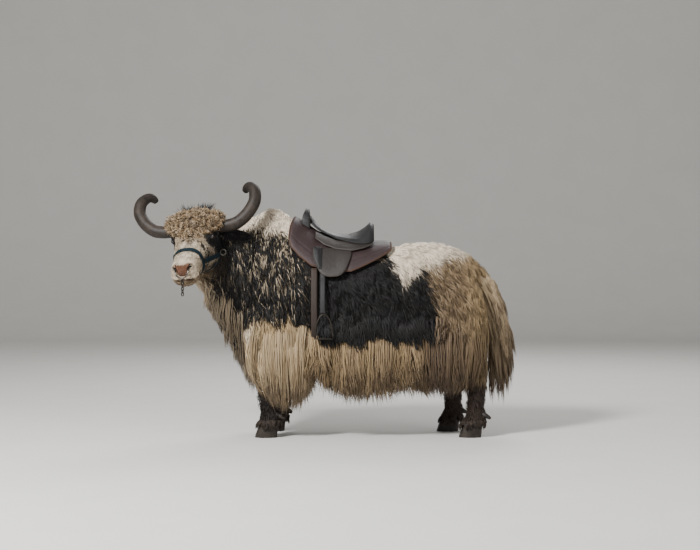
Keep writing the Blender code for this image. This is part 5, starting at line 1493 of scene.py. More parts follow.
def skirt_mark(start, whose, draws):
    black, cream, gold, brown = marking(
        start * (1, 1, 0) + np.array((0, 0, 1)) * np.minimum(start[:, 2:], 0.50)
    )
    shade = draws.normal(size=len(start))
    dark = draws.random(whose.max() + 1)[whose] ** 2
    return [
        black, cream * 0.5, np.clip(gold + 0.30, 0, 1),
        np.clip(brown * 0.6 + 0.34 * dark + 0.10 * shade, 0, 1)
    ]


def fringe_mark(start, whose, draws):
    return marking(start + draws.normal(0, 0.010, start.shape))


def make_skirt():
    """The long fringe of the belly, between the legs, in five tiers a side, and the fringe of the flank over it."""
    coat = bpy.context.scene.yak_coat
    draws = np.random.default_rng(51)
    made = []
    for name, side in SIDES.items():
        count = coat.skirt_locks
        x = spread_even(count, draws, -0.245, 0.405)
        tier = draws.permutation(np.arange(count) % 5)
        high = np.array((0.615, 0.560, 0.505, 0.460, 0.425))[tier] + draws.normal(0, 0.020, count)
        out = np.where(tier == 4, 0.10 + 0.1 * draws.random(count), 0.40)
        roots = np.stack([x, side * out, np.where(tier == 4, 0.36, high)], axis=1)
        low = (
            column(SKIRT_LOW, x, 1) + np.array((0.085, 0.045, 0.010, 0.0, 0.006))[tier]
            + draws.normal(0, 0.012, count)
        )
        tip_out = np.array((0.305, 0.292, 0.270, 0.235, 0.13))[tier] + draws.normal(0, 0.012, count)
        tips = np.stack([x + draws.normal(0.012, 0.016, count), side * tip_out, low], axis=1)
        bow = np.array((0.020, 0.018, 0.014, 0.010, 0.004))[tier]
        made += hang(
            "coat_skirt_" + name, roots, tips, bow, 0.034, 52 + side, skirt_mark, spill=0.8,
            wave=0.011
        )

        count = coat.skirt_locks // 2
        x = spread_even(count, draws, -0.19, 0.50)
        high = 0.675 + draws.normal(0, 0.022, count)
        roots = np.stack([x, x * 0 + side * 0.40, high], axis=1)
        tips = np.stack([x + 0.03, x * 0 + side * 0.322, high - draws.uniform(0.09, 0.16, count)], axis=1)
        made += hang(
            "coat_flank_fringe_" + name, roots, tips, x * 0 + 0.017, 0.040, 56 + side,
            fringe_mark
        )
    return made


def bell_mark(start, whose, draws):
    where = start * (1, 1, 0) + np.array((0, 0, 1)) * np.minimum(start[:, 2:], 0.52)
    black, cream, gold, brown = marking(where)
    front = start[:, 0] < 0
    dark = draws.random(whose.max() + 1)[whose] ** 2
    gold = np.where(front, 1.0, gold)
    cream = np.where(front, 0.02 + 0.20 * draws.random(len(start)), cream * 0.5)
    brown = np.where(front, 0.30 * dark, np.clip(brown * 0.8 + 0.3 * dark, 0.12, 0.75))
    return [black * 0, cream * (1 - 0.5 * dark), gold, brown]


def make_bells():
    """The bells of long hair round the upper legs, hanging to the shanks."""
    coat = bpy.context.scene.yak_coat
    draws = np.random.default_rng(61)
    made = []
    for pair in LEGS:
        middle, out, long, wide = BELLS[pair]
        for name, side in SIDES.items():
            count = coat.bell_locks
            turn = spread_even(count, draws, 0, 2 * math.pi)
            tier = draws.permutation(np.arange(count) % 4)
            high = (
                np.array((0.660, 0.590, 0.520, 0.450))[tier]
                + draws.normal(0, 0.026 if pair == "front" else 0.015, count)
            )
            share = np.array((1.0, 0.86, 0.66, 0.46))[tier]
            shift = leg_shift(pair, high * 0 + 0.45, max(side, 0))
            x = middle + shift * 0.6 + long * np.cos(turn)
            y = side * (out + wide * np.sin(turn))
            roots = np.stack([x, y * 1.04, high], axis=1)
            tip_x = middle + shift * 0.6 + long * share * np.cos(turn) * 1.02
            tip_y = side * (out + wide * share * np.sin(turn))
            low = (
                column(BELL_LOW[pair], tip_x, 1) + np.array((0.050, 0.022, 0.0, 0.0))[tier]
                + draws.normal(0, 0.010, count)
            )
            tips = np.stack([tip_x, tip_y, low], axis=1)
            bow = np.array((0.022, 0.022, 0.018, 0.012))[tier] * (2.0 if pair == "front" else 1.0)
            made += hang(
                "coat_bell_" + pair + "_" + name, roots, tips, bow, 0.030, 62 + side, bell_mark,
                spill=0.7, wave=0.011
            )
    return made


def make_fetlocks():
    """The shaggy hair over the top of each hoof."""
    draws = np.random.default_rng(46)
    for pair, table in LEGS.items():
        for name, side in SIDES.items():
            middle = table[-1][1] + float(leg_shift(pair, 0.1, max(side, 0)))
            turn = spread_even(16, draws, 0, 2 * math.pi)
            way = np.stack([np.cos(turn), np.sin(turn) * 0.86, turn * 0], axis=1)
            centre = np.array((middle, side * table[-1][2], 0.0))
            roots = centre + way * 0.058 + np.array((0, 0, 0.112))
            tips = centre + way * 0.066 + np.array((0, 0, 0.040)) + draws.normal(0, 0.006, (16, 3))
            hang(
                "coat_fetlock_" + pair + "_" + name, roots, tips, turn * 0 + 0.012, 0.016, 47,
                fetlock_mark, 0.0042
            )


def fetlock_mark(start, whose, draws):
    blank = np.zeros(len(start))
    return [blank + 0.35 + 0.4 * draws.random(len(start)), blank, blank, blank + 0.9]


def make_thighs():
    """Long hair down the back of the thighs, which meets the tail."""
    coat = bpy.context.scene.yak_coat
    draws = np.random.default_rng(76)
    for name, side in SIDES.items():
        count = coat.thigh_locks
        high = spread_even(count, draws, 0.54, 1.0)
        x = 0.735 - 0.05 * draws.random(count)
        out = draws.uniform(0.05, 0.21, count)
        roots = np.stack([x, side * out, high], axis=1)
        low = np.maximum(high - 0.30, 0.30) + draws.normal(0, 0.015, count)
        tips = np.stack([x + 0.050 + draws.normal(0, 0.010, count), side * (out * 0.9 + 0.02), low], axis=1)
        hang("coat_thigh_" + name, roots, tips, x * 0 + 0.015, 0.034, 77 + side, thigh_mark)


def thigh_mark(start, whose, draws):
    black, cream, gold, brown = marking(start * (0.96, 1, 1))
    dark = draws.random(whose.max() + 1)[whose]
    return [black * 0, cream * 0.4, gold, np.clip(brown * 0.6 + 0.35 * dark, 0, 0.8)]


def beard_mark(start, whose, draws):
    black, brown = marking(start)[::3]
    low = np.clip(0.55 + 0.35 * draws.random(len(start)), 0, 1)
    flecks = draws.random(len(start)) < 0.30
    return [
        black * flecks, low * 0.50, np.ones(len(start)),
        np.clip(brown * 0.3 + 0.30 * draws.random(len(start)), 0, 1)
    ]


def make_beard():
    """Hair that hangs under the neck and over the brisket."""
    coat = bpy.context.scene.yak_coat
    hide = Hide.made
    draws = np.random.default_rng(71)
    count = coat.beard_locks
    share = spread_even(count, draws, 0, len(BEARD) - 1)
    table = np.array(BEARD)
    x, tip_x, tip_z = (np.interp(share, np.arange(len(BEARD)), table[:, place]) for place in range(3))
    spread = np.interp(x, (-0.83, -0.70, -0.60), (0.055, 0.115, 0.150))
    across = draws.uniform(-1, 1, count)
    bend = np.interp(x, (-0.83, -0.765, -0.68, -0.58), (-0.108, -0.058, -0.022, -0.004))
    y = bend + across * spread
    roots = []
    for place in zip(x, y):
        hit = hide.tree.ray_cast(Vector((*place, 0.05)), UP)[0]
        roots.append(hit if hit is not None else Vector((*place, 0.8)))
    ahead = tip_x + draws.normal(0, 0.012, count)
    low = tip_z + 0.05 * across ** 2 + draws.normal(0, 0.012, count)
    tips = np.stack([ahead, bend + across * spread * 0.72, low], axis=1)
    roots = np.array(roots)
    long = roots[:, 2] - tips[:, 2]
    keep = long > 0.03
    bow = np.full(count, 0.008)
    return hang("coat_beard", roots[keep], tips[keep], bow[keep], 0.024, 72, beard_mark)


def tail_mark(start, whose, draws):
    low = ramp(-start[:, 2], -0.84, -0.60)
    brown = np.clip(0.04 + 0.34 * low + 0.12 * draws.normal(size=len(start)), 0, 1)
    return [0.12 * low * draws.random(len(start)), 0.14 * (1 - low), 0.8 * (1 - 0.6 * low), brown]


def make_tail():
    """The tail's bush: tiers of long hair fanned round the dock."""
    coat = bpy.context.scene.yak_coat
    draws = np.random.default_rng(81)
    count = coat.tail_locks
    share = spread_even(count, draws, 0, len(TAIL_TIERS) - 1)
    table = np.array(TAIL_TIERS)
    high, tip_x, tip_z, half = (
        np.interp(share, np.arange(len(TAIL_TIERS)), table[:, place]) for place in range(4)
    )
    dock = np.array(sorted((row[1], row[0]) for row in DOCK))
    middle = np.interp(high, dock[:, 0], dock[:, 1])
    turn = draws.uniform(-1.0, 1.0, count) * math.radians(118)
    roots = np.stack([middle + 0.10 * np.cos(turn), 0.10 * np.sin(turn), high], axis=1)
    tips = np.stack([
        tip_x - half * 0.85 * (1 - np.cos(turn)) + draws.normal(0, 0.008, count),
        half * np.sin(turn) + draws.normal(0, 0.008, count),
        tip_z + draws.normal(0, 0.012, count),
    ], axis=1)
    bow = np.interp(share, (0, 2, 7), (0.034, 0.026, 0.010))
    return hang("coat_tail", roots, tips, bow, 0.022, 82, tail_mark, spill=0.45, wave=0.008)


# Forelock

# Rows of clumps from the poll down the brow: forward, up, half width, radius, count
CURLS = (
    (-0.040, 0.008, 0.080, 0.046, 3), (0.000, 0.018, 0.112, 0.046, 5), (0.046, 0.006, 0.134, 0.047, 5),
    (0.086, -0.016, 0.118, 0.046, 5), (0.128, -0.050, 0.074, 0.042, 4), (0.166, -0.086, 0.040, 0.038, 3),
    (0.198, -0.112, 0.014, 0.031, 2),
)
CURL_LOFT = 0.014
CURL_RADIUS = 0.0068


def forelock_wool():
    """The matted wool under the curls, fused from rounded clumps."""
    shape = bmesh.new()
    for forward, up, half, radius, count in CURLS:
        for place in range(count):
            across = -1 + 2 * place / (count - 1)
            drop = 0.020 * across ** 2
            centre = by_poll(1, half * across, forward - drop, up - drop)
            ball = bmesh.ops.create_icosphere(shape, subdivisions=3, radius=radius - CURL_LOFT)["verts"]
            bmesh.ops.translate(shape, vec=centre, verts=ball)
    wool = new_piece("forelock_wool", shape)
    fuse(wool, 0.009)
    shape = bmesh.new()
    shape.from_mesh(wool.data)
    for _ in range(4):
        relax(shape, shape.verts)
    bmesh.ops.triangulate(shape, faces=shape.faces)
    shape.to_mesh(wool.data)
    shape.free()
    wool.data.shade_smooth()
    points = mesh_points(wool.data) - STANCE
    skin_place = Hide.made.nearest(points)[2]
    write_map(wool.data, "OFBake", skin_place)
    blank = np.zeros(len(points))
    write_colours(wool.data, "mark", blank, blank, blank)
    # Painted shade: the wool under the curls takes the brown of a ringlet's root and part black.
    write_colours(wool.data, "strand", blank + 0.1, blank, blank + 0.35)
    return wool


def make_forelock():
    """Ringlets of wool over the poll and brow, with three dark tufts that stand up behind them."""
    scene = bpy.context.scene
    wool = forelock_wool()
    material = curl_material(scene)
    wool.data.materials.append(material)
    finish_piece(wool)
    base = Hide(wool.data)
    heart = np.array(on_face(0.06, 0, -0.10))
    weight = ramp((base.centres - heart) @ np.array(UP), -0.06, 0.02)
    count = scene.yak_coat.curls
    draws = np.random.default_rng(91)
    roots, normals = base.scatter(count, weight, 92)[:2]
    normals = unit(normals + 0.5 * unit(roots - heart))
    uv = Hide.made.nearest(roots)[2]
    lump = ripple(roots, 0.022, 61)
    drift = np.stack([ripple(roots, 0.030, seed) for seed in (62, 63, 64)], axis=1)
    fall = np.array(HEADING) * 0.5 - np.array(UP) * 0.55 + unit(roots - heart) * 0.25
    fall = fall + 0.7 * drift + draws.normal(0, 0.20, (count, 3))
    axis = unit(fall - normals * ((fall * normals).sum(1, keepdims=True) - 0.25))
    first = unit(np.cross(axis, normals))
    second = np.cross(axis, first)
    steps = np.linspace(0, 1, 12)[None, :, None]
    swing = ripple(roots, 0.018, 65)
    turns = (
        (1.5 + 0.4 * swing + draws.normal(0, 0.12, count)) * np.where(drift[:, 0] < 0, -1, 1)
    )[:, None, None]
    start = 5.0 * swing + draws.normal(0, 0.45, count)
    angle = start[:, None, None] + turns * 2 * math.pi * steps
    radius = CURL_RADIUS * draws.uniform(0.75, 1.25, count)[:, None, None] * (0.55 + 0.6 * steps)
    long = draws.uniform(0.012, 0.034, count)[:, None, None]
    rise = (draws.uniform(0.002, 0.008, count) + 0.006 * ramp(lump, -0.2, 0.8))[:, None, None]
    lines = (
        roots[:, None] + normals[:, None] * (rise * np.sin(steps * 2.2) + 0.003)
        + axis[:, None] * long * steps
    )
    lines = lines + radius * (first[:, None] * np.cos(angle) + second[:, None] * np.sin(angle))
    lines[:, 0] = roots - normals * 0.003
    blank = np.zeros(count)
    # Curls sunk in the hollows between the lumps are darkened as painted shade; a few at random are dark of their
    # own.
    dark = np.maximum((draws.random(count) < 0.04) * 0.7, 0.55 * ramp(-lump, 0.15, 0.8))
    width = 0.0029 * draws.uniform(0.6, 1.4, count)
    profile = np.interp(np.arange(11), (0, 2, 8, 10), (0.8, 1.0, 1.0, 0.6))
    mark = [blank, blank, blank, dark]
    weave_all(
        "forelock_curls", material, lines, width, axis, uv, mark, draws.random(count),
        profile, 0.9
    )

    tufts = []
    for forward, out, lean in ((-0.040, 0.060, 0.30), (-0.036, 0.010, -0.05), (-0.040, -0.040, -0.25)):
        many = 90
        spread = draws.normal(0, 0.017, (many, 2))
        middle = np.array(by_poll(1, out, forward, 0.030))
        root = middle + spread[:, :1] * np.array(HEAD_LEFT) + spread[:, 1:] * np.array(HEADING)
        way = (
            np.array(UP) + (spread * 14)[:, :1] * np.array(HEAD_LEFT) - np.array(HEAD_LEFT) * lean
            + draws.normal(0, 0.12, (many, 3))
        )
        tip = root + way * draws.uniform(0.026, 0.066, (many, 1))
        tufts.append(
            bezier(root, root + (0, 0, 0.014), (root + tip) / 2 + (0, 0, 0.012), tip, (0, 0.35, 0.7, 1.0))
        )
    lines = np.concatenate(tufts)
    many = len(lines)
    blank = np.zeros(many)
    facing = np.tile(np.array(HEADING), (many, 1))
    uv = Hide.made.nearest(lines[:, 0])[2]
    mark = [blank + 1, blank, blank, blank]
    wide = np.full(many, 0.0030)
    weave_all(
        "forelock_dark_tufts", hair_material(scene), lines, wide, facing, uv, mark,
        draws.random(many), (0.9, 1, 0.6), 0.5
    )


# Horns, eyes and hooves

def make_horns():
    scene = bpy.context.scene
    material = horn_material("horn_keratin", scene.yak_colours.horn, 120.0)
    rows = HORN[:-2] + (
        (0.2700, -0.1380, 0.1360, 0.0178), (0.2672, -0.1387, 0.1326, 0.0130),
        (0.2657, -0.1390, 0.1307, 0.0085), (0.2647, -0.1392, 0.1295, 0.0040),
    )
    for name, side in SIDES.items():
        path = np.array(smooth_path(rows, 10))
        centres = np.array([by_poll(side, *row[:3]) for row in path])
        run = np.concatenate([[0], np.cumsum(np.linalg.norm(np.diff(centres, axis=0), axis=1))])

        def ring(row, line, angle):
            out, forward, up, radius = row
            ahead = (by_poll(side, *line) - POLL).normalized()
            across = ahead.cross(HEADING).normalized()
            over = across.cross(ahead)
            centre = by_poll(side, out, forward, up)
            spot = run[int(np.argmin(np.linalg.norm(centres - np.array(centre), axis=1)))]
            base = math.exp(-(spot / 0.16) ** 2)
            ridge = 1 + (0.001 + 0.009 * base) * math.sin(spot * 2 * math.pi / 0.017 + 0.6 * math.sin(angle))
            ridge += 0.010 * math.sin(2 * angle + spot * 22) + 0.008 * math.sin(3 * angle - spot * 31)
            return centre + (across * math.cos(angle) + over * math.sin(angle)) * radius * ridge
        shape = bmesh.new()
        form(shape, rows, ring, 40, 10)
        horn = new_piece("yak_horn_" + name, shape, material)
        points = mesh_points(horn.data) - STANCE
        near = KDTree(len(centres))
        for place, centre in enumerate(centres):
            near.insert(centre, place)
        near.balance()
        spots = np.array([near.find(point)[1] for point in points])
        away = unit(points - centres[spots])
        turn = np.arctan2(away @ np.array(UP), away @ np.array(HEADING)) / (2 * math.pi)
        write_map(horn.data, "Growth", np.stack([turn, run[spots]], axis=1))
        share = run[spots] / run[-1]
        tone = ramp(share, 0.72, 0.98)
        # Paler on the upper side of the horn's lower half: painted light; paler near the base: the horn's own tone.
        light = (
            ramp(away @ np.array(UP), -0.2, 0.7) * (1 - ramp(share, 0.25, 0.65))
            + 0.5 * (1 - ramp(share, 0.0, 0.2))
        )
        write_colours(horn.data, "tone", tone, np.clip(light, 0, 1), tone * 0)
        finish_piece(horn, ["horn_" + name])


def eye_material():
    """A wet dark eye: brown iris round a long level pupil under a clear cornea."""
    made, tree, shader = new_material("wet_brown_eye", roughness=0.06, coat_weight=1.0, coat_roughness=0.03)
    iris, pupil, rim = channels(tree, "gaze")
    where = add_node(tree, "ShaderNodeTexCoord").outputs["Object"]
    rays = noise(tree, where, 900.0, 3.0)
    brown = mixed(tree, rays, solid(srgb("180d07")), solid(srgb("2c190d")))
    tint = mixed(tree, iris, solid(srgb("3c2e28")), brown)
    tint = mixed(tree, rim, tint, solid(srgb("0d0806")))
    tint = mixed(tree, pupil, tint, solid(srgb("050506")))
    tree.links.new(tint, shader.inputs["Base Color"])
    return made


def make_eyes():
    material = eye_material()
    for name, side in SIDES.items():
        centre, look, long, high = eye_frame(side)
        shape = bmesh.new()
        bmesh.ops.create_uvsphere(shape, u_segments=72, v_segments=48, radius=EYE_RADIUS)
        turn = Matrix((long, high, look)).transposed()
        if turn.determinant() < 0:
            turn = Matrix((-long, high, look)).transposed()
        bmesh.ops.rotate(shape, cent=(0, 0, 0), matrix=turn, verts=shape.verts)
        bmesh.ops.translate(shape, vec=centre, verts=shape.verts)
        eye = new_piece("yak_eye_" + name, shape, material)
        from_ball = (mesh_points(eye.data) - STANCE - np.array(centre)) / EYE_RADIUS
        a, b, depth = (from_ball @ np.array(part) for part in (long, high, look))
        away = np.hypot(a, b) + (depth < 0)
        pupil = 1 - ramp(np.hypot(a / 0.34, b / 0.15), 0.85, 1.1)
        iris = 1 - ramp(away, 0.66, 0.72)
        rim = hill(away, 0.68, 0.07)
        write_colours(eye.data, "gaze", iris, pupil, rim)
        finish_piece(eye, ["eye_" + name])


# Claw, from the sole up: z, half length, width, shift towards the heel
CLAW_ROWS = (
    (0.000, 0.0625, 0.0460, -0.012), (0.004, 0.064, 0.047, -0.012), (0.045, 0.059, 0.0475, -0.003),
    (0.0735, 0.053, 0.0465, 0.006)
)


def make_hooves():
    scene = bpy.context.scene
    material = horn_material("hoof_keratin", scene.yak_colours.hoof, 160.0)
    for pair, table in LEGS.items():
        for name, side in SIDES.items():
            foot_x = table[-1][1] + float(leg_shift(pair, 0.0, max(side, 0)))
            foot_y = side * table[-1][2]
            for which, away in (("inner", -side), ("outer", side)):
                def ring(row, line, angle):
                    z, depth, half, back = row
                    turn = angle if angle <= math.pi else 2 * math.pi - angle
                    swell = 1 + 0.010 * math.sin(z * 900) * math.sin(turn)
                    width = (
                        0.003 + half * max(math.sin(turn), 0.0) ** 0.7
                        * swell if angle <= math.pi else 0.003
                    )
                    return Vector((foot_x + back - depth * math.cos(turn), foot_y + away * width, z))
                shape = bmesh.new()
                form(shape, CLAW_ROWS, ring, 40, 5)
                title = pair + "_" + name + "_" + which
                claw = new_piece("yak_hoof_" + title, shape, material)
                points = mesh_points(claw.data) - STANCE
                bearing = np.arctan2(points[:, 1] - foot_y, points[:, 0] - foot_x) / 6.28
                write_map(claw.data, "Growth", np.stack([bearing, points[:, 2]], axis=1))
                blank = np.zeros(len(points))
                write_colours(
                    claw.data, "tone", ramp(-points[:, 2], -0.012, 0.0) * 0.6,
                    ramp(points[:, 2], 0.045, 0.07) * 0.5, blank
                )
                finish_piece(claw, ["hoof_" + title])

                x, out = table[-2][1:3]
                x += float(leg_shift(pair, 0.12, max(side, 0))) + 0.054
                shape = bmesh.new()
                bmesh.ops.create_cone(
                    shape, cap_ends=True, segments=24, radius1=0.019, radius2=0.0075, depth=0.060
                )
                narrow = [edge for edge in shape.edges if all(vert.co.z > 0.02 for vert in edge.verts)]
                bmesh.ops.bevel(
                    shape, geom=narrow, offset=0.005, segments=4, affect="EDGES", profile=0.5, material=-1
                )
                turn = Matrix.Rotation(math.radians(118), 3, "Y")
                bmesh.ops.rotate(shape, cent=(0, 0, 0), matrix=turn, verts=shape.verts)
                bmesh.ops.translate(shape, vec=(x, side * out + away * 0.021, 0.122), verts=shape.verts)
                claw = new_piece("yak_dewclaw_" + title, shape, material)
                points = mesh_points(claw.data) - STANCE
                write_map(claw.data, "Growth", points[:, [1, 2]])
                blank = np.zeros(len(points))
                write_colours(claw.data, "tone", blank, blank, blank)
                finish_piece(claw, ["dewclaw_" + title])


# Saddle

PAD_LIFT = 0.007
PAD_SIDE = 0.013
PAD_CREST = 0.010
LEATHER = 0.005
STRAP_LIFT = 0.0015
FLAP_LIFT = 0.0085
SKIRT_LIFT = 0.0150
SEAT_LIFT = 0.0228
PAD_EDGE = (
    (-0.356, 1.150), (-0.345, 1.100), (-0.290, 1.040), (-0.220, 0.985), (-0.100, 0.960),
    (0.005, 0.952), (0.083, 0.985), (0.160, 1.022), (0.215, 1.055), (0.240, 1.075),
)
FLAP_X = (-0.2135, 0.0085)
FLAP_LOW = 0.9166
FLAP_TOP = 1.065
KNEE_ROLL_X = (-0.2110, -0.1600)
SEAT_TOP = (
    (-0.232, 1.292), (-0.205, 1.252), (-0.170, 1.218), (-0.130, 1.194), (-0.070, 1.178),
    (-0.005, 1.177), (0.050, 1.194), (0.090, 1.220), (0.118, 1.246), (0.140, 1.240),
)
SEAT_HALF = (
    (-0.232, 0.055), (-0.205, 0.075), (-0.170, 0.095), (-0.130, 0.110), (-0.070, 0.130),
    (-0.005, 0.145), (0.050, 0.155), (0.090, 0.155), (0.118, 0.145), (0.140, 0.125),
)
SEAT_RIM = 0.011
SEAT_SKIRT_X = (-0.2000, 0.1360)
SEAT_SKIRT_EDGE = (
    (-0.200, 1.115), (-0.150, 1.080), (-0.080, 1.055), (0.015, 1.045), (0.083, 1.058), (0.136, 1.078)
)
POMMEL_X = (-0.2800, -0.2335)
POMMEL_HALF = 0.088
POMMEL_TOP = 1.325
POMMEL_WALL = 0.024
GIRTH_X = -0.204
GIRTH_HALF = 0.018
GIRTH_LIFT = 0.0035
STRAP_X = -0.155
STRAP_HALF = 0.014
STIRRUP_X = -0.148
STIRRUP_HALF = 0.0535
STIRRUP_LOW = 0.577
STIRRUP_TOP = 0.712
STIRRUP_OUT = 0.352


def span(low, high, share):
    return low + (high - low) * share


def edge_swell(u, v, power=12.0):
    """One inside a plate, falling to nought in a round at its edges."""
    return max(0.0, (1 - abs(2 * u - 1) ** power) * (1 - abs(2 * v - 1) ** power)) ** 0.5


def leather_material(name, code, worn, grain, gloss):
    """Tack leather: fine pebbled grain, creases where it bends, and paler rubbed edges and patches."""
    made, tree, shader = new_material(name, specular_ior_level=0.35)
    where = add_node(tree, "ShaderNodeTexCoord").outputs["Object"]
    pebbles = add_node(
        tree, "ShaderNodeTexVoronoi", {"feature": "DISTANCE_TO_EDGE"}, {"Vector": where, "Scale": grain}
    )
    creases = noise(tree, stretched(tree, where, (1.0, 1.6, 0.6)), 38.0, 5.0, 0.62)
    patches = noise(tree, where, 11.0, 4.0, 0.6)
    edge = add_node(tree, "ShaderNodeAttribute", {"attribute_name": "edge"}).outputs["Fac"]
    rub = maths(
        tree, "MULTIPLY", maths(tree, "ADD", edge, maths(tree, "MULTIPLY", patches, 0.5)), 0.62, True
    )
    tint = mixed(
        tree, creases, solid([part * 0.72 for part in srgb(code)]),
        solid([part * 1.25 for part in srgb(code)])
    )
    tint = mixed(tree, rub, tint, solid(srgb(worn)))
    tree.links.new(tint, shader.inputs["Base Color"])
    rough = add_node(
        tree, "ShaderNodeMapRange", {}, {"Value": patches, "To Min": gloss - 0.10, "To Max": gloss + 0.14}
    )
    tree.links.new(rough.outputs["Result"], shader.inputs["Roughness"])
    fine = maths(tree, "MULTIPLY", pebbles.outputs["Distance"], 0.5)
    bumped(tree, shader, maths(tree, "ADD", fine, creases), 0.0014)
    return made


def webbing_material():
    """Woven halter band of a dull blue-green, with a ribbed weave and grime in it."""
    made, tree, shader = new_material("woven_halter_band", roughness=0.85, specular_ior_level=0.2)
    uv = add_node(tree, "ShaderNodeUVMap", {"uv_map": "Weave"}).outputs["UV"]
    ribs = add_node(
        tree, "ShaderNodeTexWave", {"bands_direction": "Y"},
        {"Vector": uv, "Scale": 150.0, "Distortion": 0.6}
    )
    warp = add_node(
        tree, "ShaderNodeTexWave", {"bands_direction": "X"},
        {"Vector": uv, "Scale": 220.0, "Distortion": 0.4}
    )
    weave_height = maths(tree, "MULTIPLY", ribs.outputs["Fac"], warp.outputs["Fac"])
    where = add_node(tree, "ShaderNodeTexCoord").outputs["Object"]
    grime = noise(tree, where, 30.0, 4.0, 0.6)
    tint = mixed(tree, grime, solid(srgb("0a1316")), solid(srgb("142a33")))
    tint = mixed(tree, maths(tree, "MULTIPLY", weave_height, 0.35), tint, solid(srgb("24414c")))
    tree.links.new(tint, shader.inputs["Base Color"])
    bumped(tree, shader, weave_height, 0.0012)
    return made


def steel_material(name, clean, dirty):
    """Plain steel that has been handled: fine scratches, and duller where dirt lies."""
    made, tree, shader = new_material(name, metallic=1.0)
    where = add_node(tree, "ShaderNodeTexCoord").outputs["Object"]
    scratches = noise(tree, stretched(tree, where, (1.0, 1.0, 8.0)), 260.0, 4.0, 0.7)
    dirt = noise(tree, where, 45.0, 4.0, 0.6)
    tint = mixed(tree, dirt, solid(srgb(clean)), solid(srgb(dirty)))
    tree.links.new(tint, shader.inputs["Base Color"])
    rough = add_node(tree, "ShaderNodeMapRange", {}, {"Value": dirt, "To Min": 0.22, "To Max": 0.50})
    tree.links.new(rough.outputs["Result"], shader.inputs["Roughness"])
    bumped(tree, shader, scratches, 0.0004)
    return made


def plate(name, place, columns, rows_up, material, nodes=(), weave_size=None):
    """A curved plate; place(u, v, face) gives a point, face 0 below and 1 above. Its edge is marked."""
    shape = bmesh.new()
    edge = shape.verts.layers.float.new("edge")
    for face in (0, 1):
        made = bmesh.ops.create_grid(shape, x_segments=columns, y_segments=rows_up, size=0.5)
        for vert in made["verts"]:
            u, v = vert.co.x + 0.5, vert.co.y + 0.5
            vert[edge] = 1 - min(1.0, edge_swell(u, v, 16.0) * 1.15)
            vert.co = place(u, v, face)
    rim = [line for line in shape.edges if line.is_boundary]
    bmesh.ops.bridge_loops(shape, edges=rim)
    bmesh.ops.recalc_face_normals(shape, faces=shape.faces)
    if weave_size:
        uv = shape.loops.layers.uv.new("Weave")
        for face in shape.faces:
            for loop in face.loops:
                number = loop.vert.index % ((columns + 1) * (rows_up + 1))
                loop[uv].uv = (
                    number % (columns + 1) / columns * weave_size[0],
                    number // (columns + 1) / rows_up * weave_size[1]
                )
    made = new_piece(name, shape, material)
    return finish_piece(made, nodes)


def pipe(shape, points, radius, sides=10, closed=False, reference=UP):
    """A round bar along points, each with its own radius if a list is given."""
    count = len(points)
    way = Vector(reference)
    frames = []
    for place in range(count):
        ahead = points[(place + 1) % count] if closed else points[min(place + 1, count - 1)]
        behind = points[place - 1] if closed or place else points[0]
        line = (Vector(ahead) - Vector(behind)).normalized()
        side = line.cross(way)
        if side.length < 0.2:
            side = line.cross(Vector((0.31, 0.87, 0.38)))
        side.normalize()
        frames.append((side, side.cross(line)))
        way = side.cross(line) if not closed else way

    def place(u, v):
        spot = round(v * (count if closed else count - 1)) % count
        side, over = frames[spot]
        wide = radius[spot] if isinstance(radius, (list, tuple)) else radius
        angle = u * 2 * math.pi
        return Vector(points[spot]) + (side * math.cos(angle) + over * math.sin(angle)) * wide
    return spread_sheet(shape, place, sides, count if closed else count - 1, wrap=True)


def pad_top(angle):
    return PAD_LIFT + PAD_SIDE + PAD_CREST * math.cos(angle) ** 4


def flap_low(x):
    middle = (FLAP_X[0] + FLAP_X[1]) / 2
    share = abs(x - middle) / ((FLAP_X[1] - FLAP_X[0]) / 2)
    return FLAP_LOW + 0.115 * min(share, 1.0) ** 3.2


def seat_floor(x, y):
    """Height of the layers that the seat lies on."""
    half, top, power, middle = (barrel_middle(x)[place] for place in (0, 1, 3, 4))
    angle = math.asin(min(1.0, abs(y) / half))
    lift = pad_top(angle) + SEAT_LIFT
    share = abs(y) / (half + lift)
    return middle + (top - middle + lift) * (1 - share ** power) ** (1 / power)


def pad_place(u, v, face):
    """The stuffed pad: thick and round between its sewn channels and thin at its bound edge."""
    x = span(PAD_EDGE[0][0], PAD_EDGE[-1][0], u)
    reach = barrel_angle(x, row_at(PAD_EDGE, x)[1])
    angle = span(-reach, reach, v)
    x += PAD_SETBACK * (1 - u) ** 3 * math.cos(angle) ** 8
    lift = PAD_LIFT
    if face:
        swell = 0.25 + 0.75 * edge_swell(u, v, 14.0)
        channel = 0.0016 * math.exp(-((abs(2 * v - 1) - 0.80) / 0.018) ** 2)
        lift += (PAD_SIDE + PAD_CREST * math.cos(angle) ** 4) * swell - channel
    return barrel_point(x, angle, lift)


